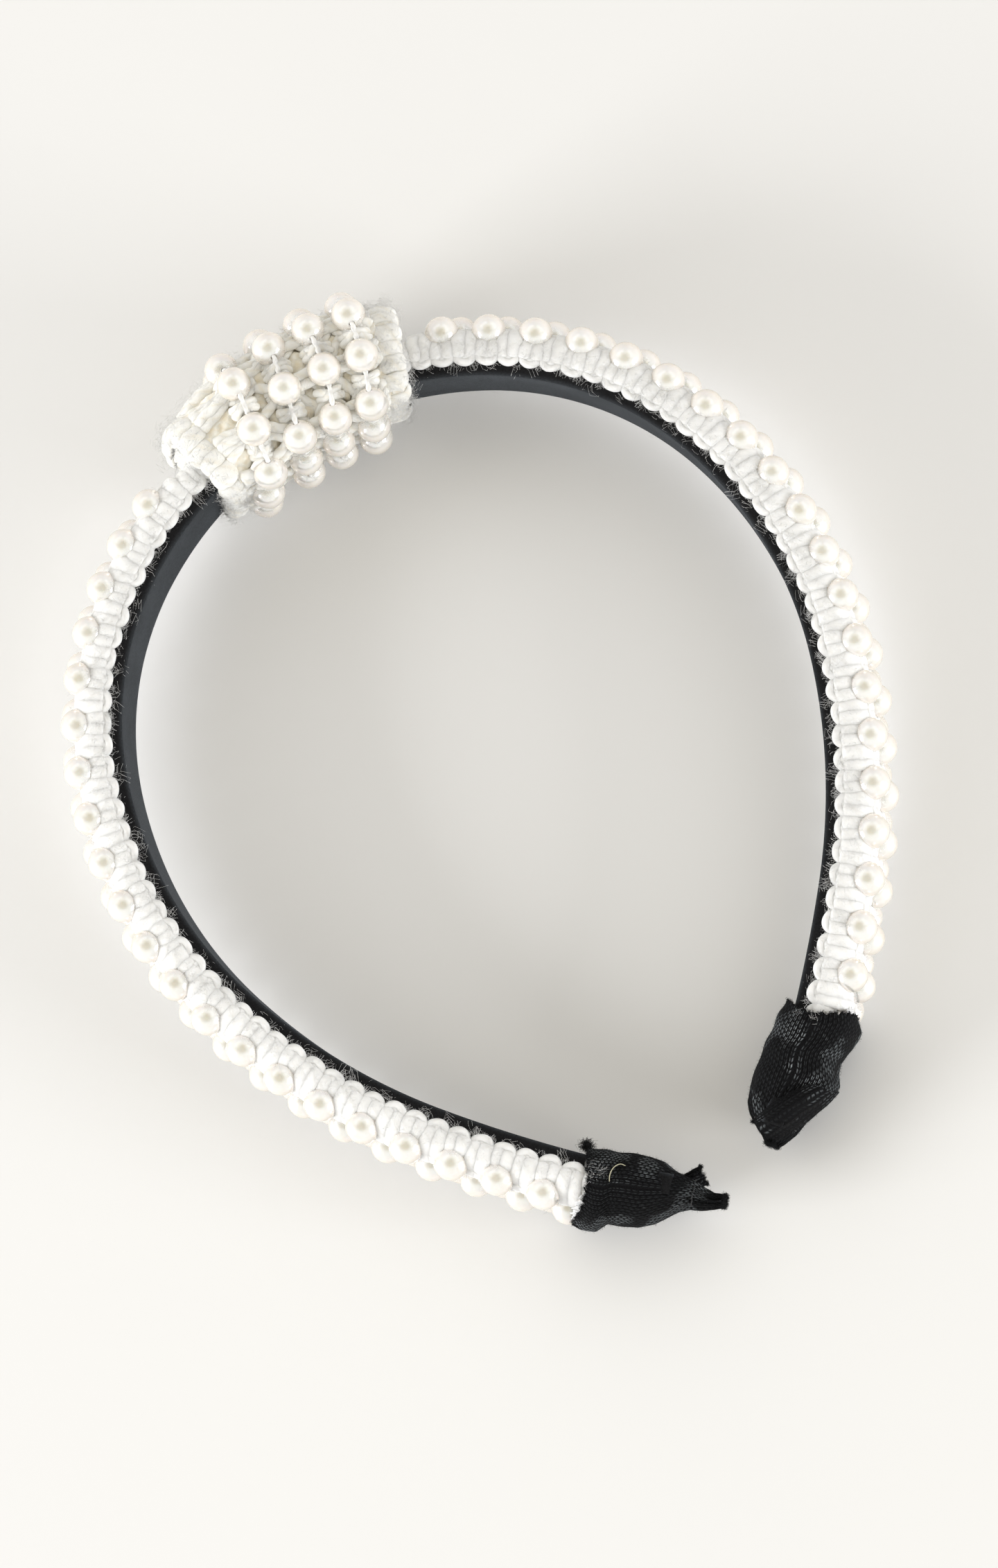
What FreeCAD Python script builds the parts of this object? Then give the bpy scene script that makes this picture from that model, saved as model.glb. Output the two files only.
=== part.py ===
import FreeCAD, Part
import math
import os
import Sketcher
from FreeCAD import Vector, Placement, Rotation

# Pearl-trimmed crochet headband lying on its side.
# X runs across the hoop, +Y points from the open tips to the knot at the crown,
# +Z is up through the width of the band. All sizes in millimetres.
# "s" is the length along the inner face of the hoop, measured from the crown.
# "r" is the distance outward from that inner face, "z" is across the band.

doc = FreeCAD.newDocument("headband")
sheet = doc.addObject("Spreadsheet::Sheet", "Sheet")
CELLS = [
    # inner face of the hoop: five tangent arcs per side
    ("crown_r", 60.3), ("hip_r", 53.0), ("side_r", 67.5), ("low_r", 101.6), ("tip_r", 245.0),
    ("crown_l", 32.0), ("hip_l", 40.0), ("side_l", 40.0), ("low_l", 38.0), ("tip_l", 44.0),
    # resting attitude and position of the crown in the shared frame
    ("rest_tilt", 2.43), ("crown_y", 63.75), ("crown_z", 14.74),
    # knot and leg roots
    ("knot_half", 19.0), ("root_gap", 0.6), ("cover_gap", 2.1), ("yarn_gap", 2.9),
    ("wrap_half", 14.75), ("selvedge_start", 14.9), ("selvedge_end", 18.4),
    # strips that make up the band
    ("lining_t", 0.45), ("lining_half", 6.5), ("lip_inner", 6.05), ("lip_top", 2.0),
    ("core_in", 0.5), ("core_out", 1.9), ("core_half", 6.0), ("hoop_end", 191.0),
    ("back_in", 2.02), ("back_out", 2.3), ("back_half", 5.8), ("back_end", 188.0),
    ("pad_in", 2.34), ("pad_half", 4.6), ("pad_top", 5.0), ("pad_end", 185.0),
    ("cover_edge", 2.4), ("cover_half", 7.5), ("cover_end", 186.5),
    ("picot_r", 0.5), ("picot_pos", 1.82), ("picot_z", 7.08),
    # pearls
    ("pearl_d", 5.8), ("pearl_hole_d", 1.0), ("pearl_pitch", 8.05), ("seat_gap", 0.05),
    ("side_row_r", 7.8), ("side_row_z", 5.0), ("crest_row_r", 8.8), ("crest_row_z", -0.85), ("low_row_r", 7.4),
    ("row_shift", 2.5), ("crest_pitch", 7.97), ("pitch_line_r", 8.5),
    ("first_right", 26.6), ("first_left", 25.6), ("pearl_clear", 24.0), ("pearl_last", 181.6),
    ("yarn_d", 0.8),
    # knot wrap
    ("wrap_t", 0.9), ("selvedge_t", 3.0), ("knot_yarn_d", 0.7), ("knot_steps", 9),
    ("glue_t", 0.38), ("glue_half_z", 4.0), ("glue_half_s", 10.0),
    # end caps
    ("cap_start", 173.0), ("cap_full", 184.6), ("cap_neck", 188.0), ("cap_seal", 191.7),
    ("cap_fold", 193.6), ("cap_end", 201.0), ("cap_wall", 0.6),
    ("stitch_d", 0.5),
]
for i, (name, value) in enumerate(CELLS, 1):
    sheet.set("A%d" % i, name)
    sheet.set("B%d" % i, str(value))
    sheet.setAlias("B%d" % i, name)
doc.recompute()


def val(name):
    return float(getattr(sheet, name))


class Q:
    """A size and the expression that ties it to the sheet."""

    def __init__(self, v, e):
        self.v = float(v)
        self.e = e

    def __add__(self, o):
        o = q(o)
        return Q(self.v + o.v, "(%s + %s)" % (self.e, o.e))

    def __sub__(self, o):
        o = q(o)
        return Q(self.v - o.v, "(%s - %s)" % (self.e, o.e))

    def __mul__(self, o):
        o = q(o)
        return Q(self.v * o.v, "(%s * %s)" % (self.e, o.e))

    def __truediv__(self, o):
        o = q(o)
        return Q(self.v / o.v, "(%s / %s)" % (self.e, o.e))

    def __neg__(self):
        return Q(-self.v, "(0 - %s)" % self.e)


def q(x):
    if isinstance(x, Q):
        return x
    if isinstance(x, str):
        return Q(val(x), "Sheet." + x)
    return Q(x, "%.6f" % x)


ARCS = [("crown_r", "crown_l"), ("hip_r", "hip_l"), ("side_r", "side_l"), ("low_r", "low_l"), ("tip_r", "tip_l")]


def along(side, s):
    """Point on the inner face at length s, and how far the hoop has turned there."""
    sg = 1.0
    if s < 0:
        sg, s = -1.0, -s
    x = y = phi = 0.0
    left = s
    for rn, ln in ARCS:
        R = val(rn)
        step = min(left, val(ln))
        d = step / R
        x += R * (math.sin(phi + d) - math.sin(phi))
        y += R * (math.cos(phi + d) - math.cos(phi))
        phi += d
        left -= step
        if left <= 1e-9:
            break
    return side * sg * x, y, sg * phi


BASE = Placement(Vector(0, val("crown_y"), val("crown_z")), Rotation(Vector(1, 0, 0), val("rest_tilt")))


def station(side, s):
    x, y, phi = along(side, s)
    return BASE.multiply(Placement(Vector(x, y, 0), Rotation(Vector(0, 0, 1), -side * math.degrees(phi))))


def at(side, s, r, z):
    return station(side, s).multVec(Vector(0, r, z))


def plane(body, role):
    for o in body.Origin.OriginFeatures:
        if o.Role == role:
            return o


def path_sketch(body, side, s0, s1):
    """Chain of tangent arcs from s0 to s1, starting at the body's own origin."""
    s0, s1 = q(s0), q(s1)
    sk = body.newObject("Sketcher::SketchObject", "Path")
    sk.AttachmentSupport = (plane(body, "XY_Plane"), [""])
    sk.MapMode = "FlatFace"
    p = Vector(0, 0, 0)
    phi = 0.0
    lo = Q(-1000.0, "(0 - 1000)")
    hi = Q(0.0, "0")
    prev = None
    count = 0
    for rn, ln in ARCS:
        R = q(rn)
        hi = hi + q(ln)
        a = s0 if s0.v > lo.v else lo
        b = s1 if s1.v < hi.v else hi
        if b.v - a.v > 0.05:
            length = b - a
            n = Vector(side * math.sin(phi), math.cos(phi), 0)
            c = p - n * R.v
            d = length.v / R.v
            m = Vector(side * math.sin(phi + d), math.cos(phi + d), 0)
            t0, t1 = math.atan2(n.y, n.x), math.atan2(m.y, m.x)
            if side > 0:
                t0, t1 = t1, t0
            g = sk.addGeometry(Part.ArcOfCircle(Part.Circle(c, Vector(0, 0, 1), R.v), t0, t1), False)
            ps, pe = (2, 1) if side > 0 else (1, 2)
            k = sk.addConstraint(Sketcher.Constraint("Radius", g, R.v))
            sk.setExpression("Constraints[%d]" % k, R.e)
            k = sk.addConstraint(Sketcher.Constraint("Angle", g, d))
            sk.setExpression("Constraints[%d]" % k, "%s / %s * 180 / pi * 1 deg" % (length.e, R.e))
            if prev is None:
                sk.addConstraint(Sketcher.Constraint("Coincident", g, ps, -1, 1))
                sk.addConstraint(Sketcher.Constraint("PointOnObject", g, 3, -2))
            else:
                sk.addConstraint(Sketcher.Constraint("Tangent", prev[0], prev[1], g, ps))
            prev = (g, pe)
            p = c + m * R.v
            phi += d
            count += 1
        lo = hi
    return sk, count


def loop(sk, pts):
    """Closed polygon whose corners are held by dimensions from the sheet."""
    first = sk.GeometryCount
    n = len(pts)
    pts = [(q(a), q(b)) for a, b in pts]
    for i in range(n):
        a, b = pts[i], pts[(i + 1) % n]
        sk.addGeometry(Part.LineSegment(Vector(a[0].v, a[1].v, 0), Vector(b[0].v, b[1].v, 0)), False)
    for i in range(n):
        sk.addConstraint(Sketcher.Constraint("Coincident", first + i, 2, first + (i + 1) % n, 1))
    for i in range(n):
        for word, axis, d in (("DistanceX", -2, pts[i][0]), ("DistanceY", -1, pts[i][1])):
            if abs(d.v) < 1e-7:
                sk.addConstraint(Sketcher.Constraint("PointOnObject", first + i, 1, axis))
            else:
                k = sk.addConstraint(Sketcher.Constraint(word, -1, 1, first + i, 1, d.v))
                sk.setExpression("Constraints[%d]" % k, d.e)


nodes = []


def strip(label, side, s0, s1, loops, circle=None):
    """A section in the YZ plane swept along the hoop from s0 to s1."""
    body = doc.addObject("PartDesign::Body", label)
    body.Label = label
    path, count = path_sketch(body, side, s0, s1)
    sec = body.newObject("Sketcher::SketchObject", "Section")
    sec.AttachmentSupport = (plane(body, "YZ_Plane"), [""])
    sec.MapMode = "FlatFace"
    if circle:
        cr, cz, rad = [q(t) for t in circle]
        g = sec.addGeometry(Part.Circle(Vector(cr.v, cz.v, 0), Vector(0, 0, 1), rad.v), False)
        for word, d in (("DistanceX", cr), ("DistanceY", cz)):
            k = sec.addConstraint(Sketcher.Constraint(word, -1, 1, g, 3, d.v))
            sec.setExpression("Constraints[%d]" % k, d.e)
        k = sec.addConstraint(Sketcher.Constraint("Radius", g, rad.v))
        sec.setExpression("Constraints[%d]" % k, rad.e)
    else:
        for pts in loops:
            loop(sec, pts)
    doc.recompute()
    pipe = body.newObject("PartDesign::AdditivePipe", "Sweep")
    pipe.Profile = sec
    pipe.Spine = (path, ["Edge%d" % (i + 1) for i in range(count)])
    body.Tip = pipe
    doc.recompute()
    body.Placement = station(side, q(s0).v)
    nodes.append((label, body))
    return body


def part_feature(label, shape):
    f = doc.addObject("Part::Feature", label)
    f.Label = label
    f.Shape = shape
    f.Placement = Placement()
    nodes.append((label, f))
    return f


# ---- sections of the band -------------------------------------------------

LH = q("lining_half")
lining_pts = [(0.0, -LH), (0.0, LH), ("lip_top", LH), ("lip_top", "lip_inner"), ("lining_t", "lip_inner"),
              ("lining_t", -q("lip_inner")), ("lip_top", -q("lip_inner")), ("lip_top", -LH)]
core_pts = [("core_in", -q("core_half")), ("core_in", "core_half"), ("core_out", "core_half"), ("core_out", -q("core_half"))]
back_pts = [("back_in", -q("back_half")), ("back_in", "back_half"), ("back_out", "back_half"), ("back_out", -q("back_half"))]
PH, PI, PT = q("pad_half"), q("pad_in"), q("pad_top")


def dome(gap):
    """Outline of the padding, grown by a small gap for the hollow of the cover."""
    half = [(PI + 1.3 + gap, PH - 0.2 + gap), (PT - 1.2 + gap, PH - 1.0 + gap), (PT - 0.4 + gap, PH - 2.6 + gap), (PT + gap, q(0.9))]
    return half, [(r, -z) for r, z in half[::-1]]


upper, lower = dome(0.0)
pad_pts = [(PI, -PH), (PI, PH)] + upper + lower


def seat(rname, z, a0, a1, n):
    """Corners of the hollow a pearl row sits in, outside the pearl all the way."""
    R = (q("pearl_d") * 0.5 + q("seat_gap")) * (1.0 / math.cos(math.radians(abs(a1 - a0) / (n - 1) / 2.0)))
    out = []
    for i in range(n):
        t = math.radians(a0 + (a1 - a0) * i / (n - 1))
        out.append((q(rname) + R * math.cos(t), z + R * math.sin(t)))
    return out


CH, CE = q("cover_half"), q("cover_edge")
RZ, CZ = q("side_row_z"), q("crest_row_z")
upper, lower = dome(0.03)
cover_pts = ([(CE, CH - 0.5), (CE + 1.2, CH - 0.15), (CE + 2.8, CH)]
             + seat("side_row_r", RZ, 128, 236, 7)
             + seat("crest_row_r", CZ, 131, 205, 6)
             + seat("low_row_r", -RZ, 118, 232, 7)
             + [(CE + 2.8, -CH), (CE + 1.2, -CH + 0.15), (CE, -CH + 0.5), (CE, -PH - 0.03)]
             + [(r, z) for r, z in lower[::-1]] + [(r, z) for r, z in upper[::-1]]
             + [(CE, PH + 0.03)])

# ---- legs -----------------------------------------------------------------

root = q("knot_half")
# name, height off the inner face, place across, pitch, shift round the hoop, shift away from the crown
ROWS = (("top", "side_row_r", RZ, "pearl_pitch", 0.0, 0.0),
        ("middle", "crest_row_r", CZ, "crest_pitch", val("row_shift"), 0.0),
        ("bottom", "low_row_r", -RZ, "crest_pitch", val("row_shift"), val("crest_pitch") / 2.0))


def outer_length(s):
    """Length along the line of the pearls, from the crown to station s."""
    w, left = 0.0, s
    for rn, ln in ARCS:
        step = min(left, val(ln))
        w += step * (1.0 + val("pitch_line_r") / val(rn))
        left -= step
        if left <= 1e-9:
            break
    return w


def from_outer(w):
    s = 0.0
    for rn, ln in ARCS:
        k = 1.0 + val("pitch_line_r") / val(rn)
        if w <= val(ln) * k:
            return s + w / k
        w -= val(ln) * k
        s += val(ln)
    return s


def row_places(side, pitch_name, turn, away):
    """Stations of the pearls of one row, at even steps."""
    pitch = val(pitch_name)
    w = outer_length(val("first_right") if side > 0 else val("first_left")) + side * turn + away
    while from_outer(w) < val("pearl_clear"):
        w += pitch
    while w - pitch > 0 and from_outer(w - pitch) >= val("pearl_clear"):
        w -= pitch
    out = []
    while from_outer(w) <= val("pearl_last"):
        out.append(from_outer(w))
        w += pitch
    return out


def leg(side, word):
    hoop = strip(word + "_hoop", side, root, "hoop_end", [core_pts])
    # round the two corners of the plastic tip
    tip = hoop.Tip
    end = max(tip.Shape.Vertexes, key=lambda v: -v.Point.y).Point
    picks = []
    for i, e in enumerate(tip.Shape.Edges, 1):
        a, b = e.Vertexes[0].Point, e.Vertexes[-1].Point
        if abs(a.z - b.z) < 1e-6 and e.Length < 1.6 and min((a - end).Length, (b - end).Length) < 13.0 and a.y < -60 and e.Length > 1.0:
            picks.append("Edge%d" % i)
    if len(picks) == 2:
        before = tip.Shape.Volume
        f = hoop.newObject("PartDesign::Fillet", "TipRound")
        f.Base = (tip, picks)
        f.Radius = 3.5
        hoop.Tip = f
        doc.recompute()
        if not (0 < hoop.Shape.Volume < before):
            hoop.removeObject(f)
            hoop.Tip = tip
            doc.recompute()
    strip(word + "_lining", side, root, "hoop_end", [lining_pts])
    strip(word + "_backing_ribbon", side, root, "back_end", [back_pts])
    strip(word + "_padding", side, root + q("cover_gap"), "pad_end", [pad_pts])
    strip(word + "_crochet_cover", side, root + q("cover_gap"), "cover_end", [cover_pts])
    strip(word + "_picot_edge_top", side, root + q("cover_gap"), "cover_end", None, ("picot_pos", "picot_z", "picot_r"))
    strip(word + "_picot_edge_bottom", side, root + q("cover_gap"), "cover_end", None, ("picot_pos", -q("picot_z"), "picot_r"))
    for row, rn, z, pitch, turn, away in ROWS:
        places = row_places(side, pitch, turn, away)
        beads = []
        for s in places:
            b = pearl()
            # hole along the hoop
            b.Placement = station(side, s).multiply(Placement(Vector(0, val(rn), z.v), Rotation(Vector(0, 1, 0), 90)))
            beads.append(b)
        part_feature(word + "_pearls_" + row, Part.makeCompound(beads))
        strip(word + "_beading_yarn_" + row, side, root + q("yarn_gap"), places[-1] + 3.4, None, (rn, z, q("yarn_d") * 0.5))


def pearl():
    rad = val("pearl_d") / 2.0
    ball = Part.makeSphere(rad)
    hole = Part.makeCylinder(val("pearl_hole_d") / 2.0, 2 * rad + 2, Vector(0, 0, -rad - 1))
    return ball.cut(hole)


leg(1, "right")
leg(-1, "left")

# ---- end caps -------------------------------------------------------------


def cap_wire(side, s, r0, r1, zh, ri, ro):
    """Rounded outline across the band at s: tight corners inside, full corners outside."""
    P = station(side, s)
    c = math.sqrt(0.5)

    def pt(r, z):
        return P.multVec(Vector(0, r, z))

    e = [
        Part.LineSegment(pt(r0, -zh + ri), pt(r0, zh - ri)).toShape(),
        Part.Arc(pt(r0, zh - ri), pt(r0 + ri * (1 - c), zh - ri * (1 - c)), pt(r0 + ri, zh)).toShape(),
        Part.LineSegment(pt(r0 + ri, zh), pt(r1 - ro, zh)).toShape(),
        Part.Arc(pt(r1 - ro, zh), pt(r1 - ro * (1 - c), zh - ro * (1 - c)), pt(r1, zh - ro)).toShape(),
        Part.LineSegment(pt(r1, zh - ro), pt(r1, -zh + ro)).toShape(),
        Part.Arc(pt(r1, -zh + ro), pt(r1 - ro * (1 - c), -zh + ro * (1 - c)), pt(r1 - ro, -zh)).toShape(),
        Part.LineSegment(pt(r1 - ro, -zh), pt(r0 + ri, -zh)).toShape(),
        Part.Arc(pt(r0 + ri, -zh), pt(r0 + ri * (1 - c), -zh + ri * (1 - c)), pt(r0, -zh + ri)).toShape(),
    ]
    return Part.Wire(e)


def cap(side, word):
    w = val("cap_wall")
    s0, s1, s2, s3 = val("cap_start"), val("cap_full"), val("cap_neck"), val("cap_seal")
    zh = val("side_row_z") + val("pearl_d") / 2.0 + 0.12
    top = val("crest_row_r") + val("pearl_d") / 2.0 + 0.12
    inner = [(s0 - 0.5, -0.12, top, zh, 1.3, 3.4), (s1, -0.12, top, zh, 1.3, 3.4),
             (s2, -0.12, 8.6, zh, 1.3, 2.0), (s3, -0.1, 3.1, 6.9, 0.8, 0.9)]
    outer = [(s0, -0.12 - w, top + w, zh + w, 1.9, 4.0), (s1, -0.12 - w, top + w, zh + w, 1.9, 4.0),
             (s2, -0.12 - w, 8.6 + w, zh + w, 1.9, 2.6), (s3 + w, -0.1 - w, 3.1 + w, 6.9 + w, 1.4, 1.5),
             (val("cap_fold"), 0.1, 1.9, 6.9, 0.6, 0.6), (val("cap_end"), 0.2, 1.6, 7.4, 0.5, 0.5)]
    o = Part.makeLoft([cap_wire(side, *a) for a in outer], True, True)
    i = Part.makeLoft([cap_wire(side, *a) for a in inner], True, True)
    part_feature(word + "_end_cap", o.cut(i))
    # row of stitches that shuts the flattened end of the cap
    st = []
    d = val("stitch_d")
    s = (val("cap_fold") + 1.2)
    for k in range(6):
        z = -5.0 + 2.0 * k
        P = station(side, s)
        a = P.multVec(Vector(0, 1.86 + d / 2, z - 0.65))
        b = P.multVec(Vector(0, 1.86 + d / 2, z + 0.65))
        st.append(Part.makeCylinder(d / 2, (b - a).Length, a, b - a))
    part_feature(word + "_cap_stitches", Part.makeCompound(st))
    # bead of glue that holds the cap on the hoop tip
    strip(word + "_cap_glue", side, "back_end", "hoop_end", [[(2.03, -4.0), (2.03, 4.0), (2.6, 3.4), (2.6, -3.4)]])


cap(1, "right")
cap(-1, "left")

# ---- crown: the part of the band inside the knot --------------------------

g = root - q("root_gap")
strip("crown_hoop", 1, -g, g, [core_pts])
strip("crown_lining", 1, -g, g, [lining_pts])
strip("crown_backing_ribbon", 1, -g, g, [back_pts])
strip("crown_padding", 1, -g, g, [pad_pts])
strip("crown_crochet_cover", 1, -g, g, [cover_pts])
for row, rn, z, pitch, turn, away in ROWS:
    beads = []
    for k in (-2, -1, 0, 1, 2):
        s = (k * val("pearl_pitch") + turn - val("row_shift") + away) / (1.0 + val("pitch_line_r") / val("crown_r"))
        if abs(s) > 15.5:
            continue
        b = pearl()
        b.Placement = station(1, s).multiply(Placement(Vector(0, val(rn), z.v), Rotation(Vector(0, 1, 0), 90)))
        beads.append(b)
    part_feature("crown_pearls_" + row, Part.makeCompound(beads))

# ---- knot -----------------------------------------------------------------

# outline of the hollow in the wrap that the band passes through
hollow = [(-0.45, -6.6), (-0.45, 6.6), (1.2, 7.7), (4.0, 8.0), (9.5, 8.0), (11.1, 6.6), (12.65, 2.4),
          (12.65, -2.4), (11.1, -6.6), (9.5, -8.0), (4.0, -8.0), (1.2, -7.7)]


def ring_wire(off):
    P = Part.makePolygon([Vector(a, b, 0) for a, b in hollow + hollow[:1]])
    if off == 0:
        return P
    return P.makeOffset2D(off, 0, False, False, False)


def swept(s0, s1, off):
    """Filled outline swept on the crown arc from s0 to s1."""
    R = val("crown_r")
    pts = Part.Face(ring_wire(off))
    pts.transformShape(FreeCAD.Matrix(0, 0, 1, 0, 1, 0, 0, 0, 0, 1, 0, 0, 0, 0, 0, 1))
    pts.rotate(Vector(0, -R, 0), Vector(0, 0, 1), -math.degrees(s0 / R))
    solid = pts.revolve(Vector(0, -R, 0), Vector(0, 0, 1), -math.degrees((s1 - s0) / R))
    if solid.ShapeType != "Solid":
        solid = Part.Solid(solid.Shells[0])
    if solid.Volume < 0:
        solid.reverse()
    return solid


def ring_solid(s0, s1, off):
    """A ring of the given thickness around the band."""
    shape = swept(s0, s1, off).cut(swept(s0 - 1, s1 + 1, 0))
    if shape.ShapeType == "Compound" and len(shape.Solids) == 1:
        shape = shape.Solids[0]
    return shape


def ring(label, s0, s1, off):
    f = doc.addObject("Part::Feature", label)
    f.Label = label
    f.Shape = ring_solid(s0, s1, off)
    f.Placement = BASE
    nodes.append((label, f))


ring("knot_wrap", -val("wrap_half"), val("wrap_half"), val("wrap_t"))
ring("knot_selvedge_right", val("selvedge_start"), val("selvedge_end"), val("selvedge_t"))
ring("knot_selvedge_left", -val("selvedge_end"), -val("selvedge_start"), val("selvedge_t"))

# closed line that the pearl centres follow around the knot
line = ring_wire(val("wrap_t") + val("pearl_d") / 2.0 + 0.04)
total = line.Length


def around(v):
    """Point (r, z) at length v on that line, v counted from the camera-side middle."""
    v = v % total
    for e in line.OrderedEdges:
        if v <= e.Length:
            t = e.getParameterByLength(v if e.Orientation == "Forward" else e.Length - v)
            p = e.valueAt(t)
            return p.x, p.y
        v -= e.Length
    p = line.OrderedVertexes[0].Point
    return p.x, p.y


# four strands lie side by side round the knot; for each, how far round it starts and the
# station of each pearl, one step further round every time
STRANDS = (
    (0.56, (11.5, 11.9, 11.9, 11.9, 11.9, 11.4, 11.2, 11.2, 11.2)),
    (0.56, (5.3, 5.9, 6.0, 6.0, 5.8, 4.6, 4.2, 4.4, 4.9)),
    (0.56, (-1.0, 0.0, 0.0, 0.0, -1.0, -2.4, -2.5, -2.6, -2.0)),
    (3.56, (-7.5, -6.5, -6.4, -7.0, -8.4, -10.0, -11.2, -11.9, -10.0)),
)
down = total / val("knot_steps")
best = 0.0
for k in range(400):
    t = k * total / 400
    r, z = around(t)
    if z > 0 and abs(r - 6.0) < 0.4:
        best = t
        break
r_a, z_a = around(best + 1.0)
direction = 1.0 if r_a < r else -1.0


def knot_point(u, v):
    r, z = around(best + direction * v)
    return at(1, u, r, z)


for strand, (start, stations) in enumerate(STRANDS):
    pts = [knot_point(u, start + (j - 4) * down) for j, u in enumerate(stations)]
    beads, rods = [], []
    ends = []
    rad = val("pearl_d") / 2.0
    yr = val("knot_yarn_d") / 2.0
    for k, p in enumerate(pts):
        a = pts[k - 1] if k else None
        b = pts[k + 1] if k + 1 < len(pts) else None
        if a is None:
            d = b - p
        elif b is None:
            d = p - a
        else:
            d = b - a
        d = Vector(d).normalize()
        bead = pearl()
        bead.Placement = Placement(p, Rotation(Vector(0, 0, 1), d))
        beads.append(bead)
        ends.append((p - d * (rad + 0.15), p + d * (rad + 0.15)))
    # straight through each pearl, with a smooth bend across each gap
    for k, (a, b) in enumerate(ends):
        rods.append(Part.LineSegment(a, b).toShape())
        if k + 1 < len(ends):
            c, far = ends[k + 1]
            gap = (c - b).Length
            bend = Part.BezierCurve()
            bend.setPoles([b, b + Vector(b - a).normalize() * gap * 0.36, c - Vector(far - c).normalize() * gap * 0.36, c])
            rods.append(bend.toShape())
    first = Part.Wire([Part.makeCircle(yr, ends[0][0], ends[0][1] - ends[0][0])])
    shape = Part.Wire(rods).makePipeShell([first], True, False)
    if shape.ShapeType != "Solid" and len(shape.Solids) == 1:
        shape = shape.Solids[0]
    part_feature("knot_pearls_strand_%d" % (strand + 1), Part.makeCompound(beads))
    part_feature("knot_beading_yarn_%d" % (strand + 1), shape)

strip("knot_glue_pad", 1, -q("glue_half_s"), "glue_half_s",
      [[(-0.02 - val("glue_t"), -q("glue_half_z")), (-0.02 - val("glue_t"), "glue_half_z"), (-0.02, "glue_half_z"), (-0.02, -q("glue_half_z"))]])

# ---- check and write ------------------------------------------------------

doc.recompute()
for o in doc.Objects:
    if "Invalid" in o.State or "Error" in o.State:
        raise RuntimeError("object not valid: " + o.Label)
os.makedirs("parts", exist_ok=True)
low = 1e9
for label, o in nodes:
    s = o.Shape
    if s.isNull() or not s.isValid() or not s.Solids:
        raise RuntimeError("bad shape: " + label)
    bb = s.BoundBox
    print("%-28s solids %3d vol %9.2f  x %7.2f %7.2f  y %7.2f %7.2f  z %7.2f %7.2f" % (
        label, len(s.Solids), s.Volume, bb.XMin, bb.XMax, bb.YMin, bb.YMax, bb.ZMin, bb.ZMax))
    s.exportStep("parts/" + label + ".step")
print("nodes", len(nodes))
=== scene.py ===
import math

import bpy
import numpy as np
from mathutils import Matrix, Vector


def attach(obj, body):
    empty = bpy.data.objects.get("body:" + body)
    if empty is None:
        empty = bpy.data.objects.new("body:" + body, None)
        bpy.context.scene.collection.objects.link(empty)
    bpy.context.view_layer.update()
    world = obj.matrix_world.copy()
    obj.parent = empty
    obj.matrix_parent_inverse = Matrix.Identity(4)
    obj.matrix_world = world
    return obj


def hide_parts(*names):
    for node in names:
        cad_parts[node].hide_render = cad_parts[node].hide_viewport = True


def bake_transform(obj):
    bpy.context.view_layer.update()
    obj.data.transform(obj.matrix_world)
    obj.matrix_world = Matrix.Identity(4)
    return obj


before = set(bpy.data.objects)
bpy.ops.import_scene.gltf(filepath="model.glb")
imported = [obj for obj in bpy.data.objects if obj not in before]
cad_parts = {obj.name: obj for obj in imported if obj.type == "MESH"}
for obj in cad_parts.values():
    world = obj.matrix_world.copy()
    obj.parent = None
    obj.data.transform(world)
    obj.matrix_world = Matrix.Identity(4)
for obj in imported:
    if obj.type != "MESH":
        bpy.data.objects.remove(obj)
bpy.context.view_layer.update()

# Pearl-knot crochet headband. Lengths in the helpers are millimetres, in the band's own
# coordinates: s along the inner face from the crown, r outwards from that face, z across the band.

rng = np.random.default_rng(4107)
MM = 0.001
TAU = 2 * math.pi

# ---------------------------------------------------------------- band line

ARCS = ((60.3, 32.0), (53.0, 40.0), (67.5, 40.0), (101.6, 38.0), (245.0, 44.0))
TILT = math.radians(2.43)
CT, ST = math.cos(TILT), math.sin(TILT)
CROWN_Y, CROWN_Z = 63.75, 14.74
KNOT_ROOT = 19.0


def along(s):
    s = np.asarray(s, float)
    sign = np.where(s < 0, -1.0, 1.0)
    left = np.abs(s).copy()
    x = np.zeros_like(s)
    y = np.zeros_like(s)
    phi = np.zeros_like(s)
    for R, L in ARCS:
        step = np.clip(left, 0, L)
        d = step / R
        x = x + R * (np.sin(phi + d) - np.sin(phi))
        y = y + R * (np.cos(phi + d) - np.cos(phi))
        phi = phi + d
        left = left - step
    x = x + left * np.cos(phi)
    y = y - left * np.sin(phi)
    return sign * x, y, sign * phi


def at(side, s, r, z):
    """World points, metres, of band coordinates."""
    s, r, z = np.broadcast_arrays(np.asarray(s, float), np.asarray(r, float), np.asarray(z, float))
    x, y, p = along(s)
    X = side * (x + r * np.sin(p))
    Y = y + r * np.cos(p)
    return np.stack([X, CROWN_Y + Y * CT - z * ST, CROWN_Z + Y * ST + z * CT], -1) * MM


def at3(side, P):
    return at(side, P[..., 0], P[..., 1], P[..., 2])


def to_crown(P):
    """Band coordinates of world points near the crown."""
    X = P[:, 0] / MM
    Y = P[:, 1] / MM - CROWN_Y
    Z = P[:, 2] / MM - CROWN_Z
    y, z = Y * CT + Z * ST, -Y * ST + Z * CT
    R = ARCS[0][0]
    return np.stack([R * np.arctan2(X, y + R), np.hypot(X, y + R) - R, z], -1)


PITCH, CREST_PITCH, LINE_R, ROW_SHIFT = 8.05, 7.97, 8.5, 2.5
FIRST = {1: 26.6, -1: 25.6}
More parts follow.
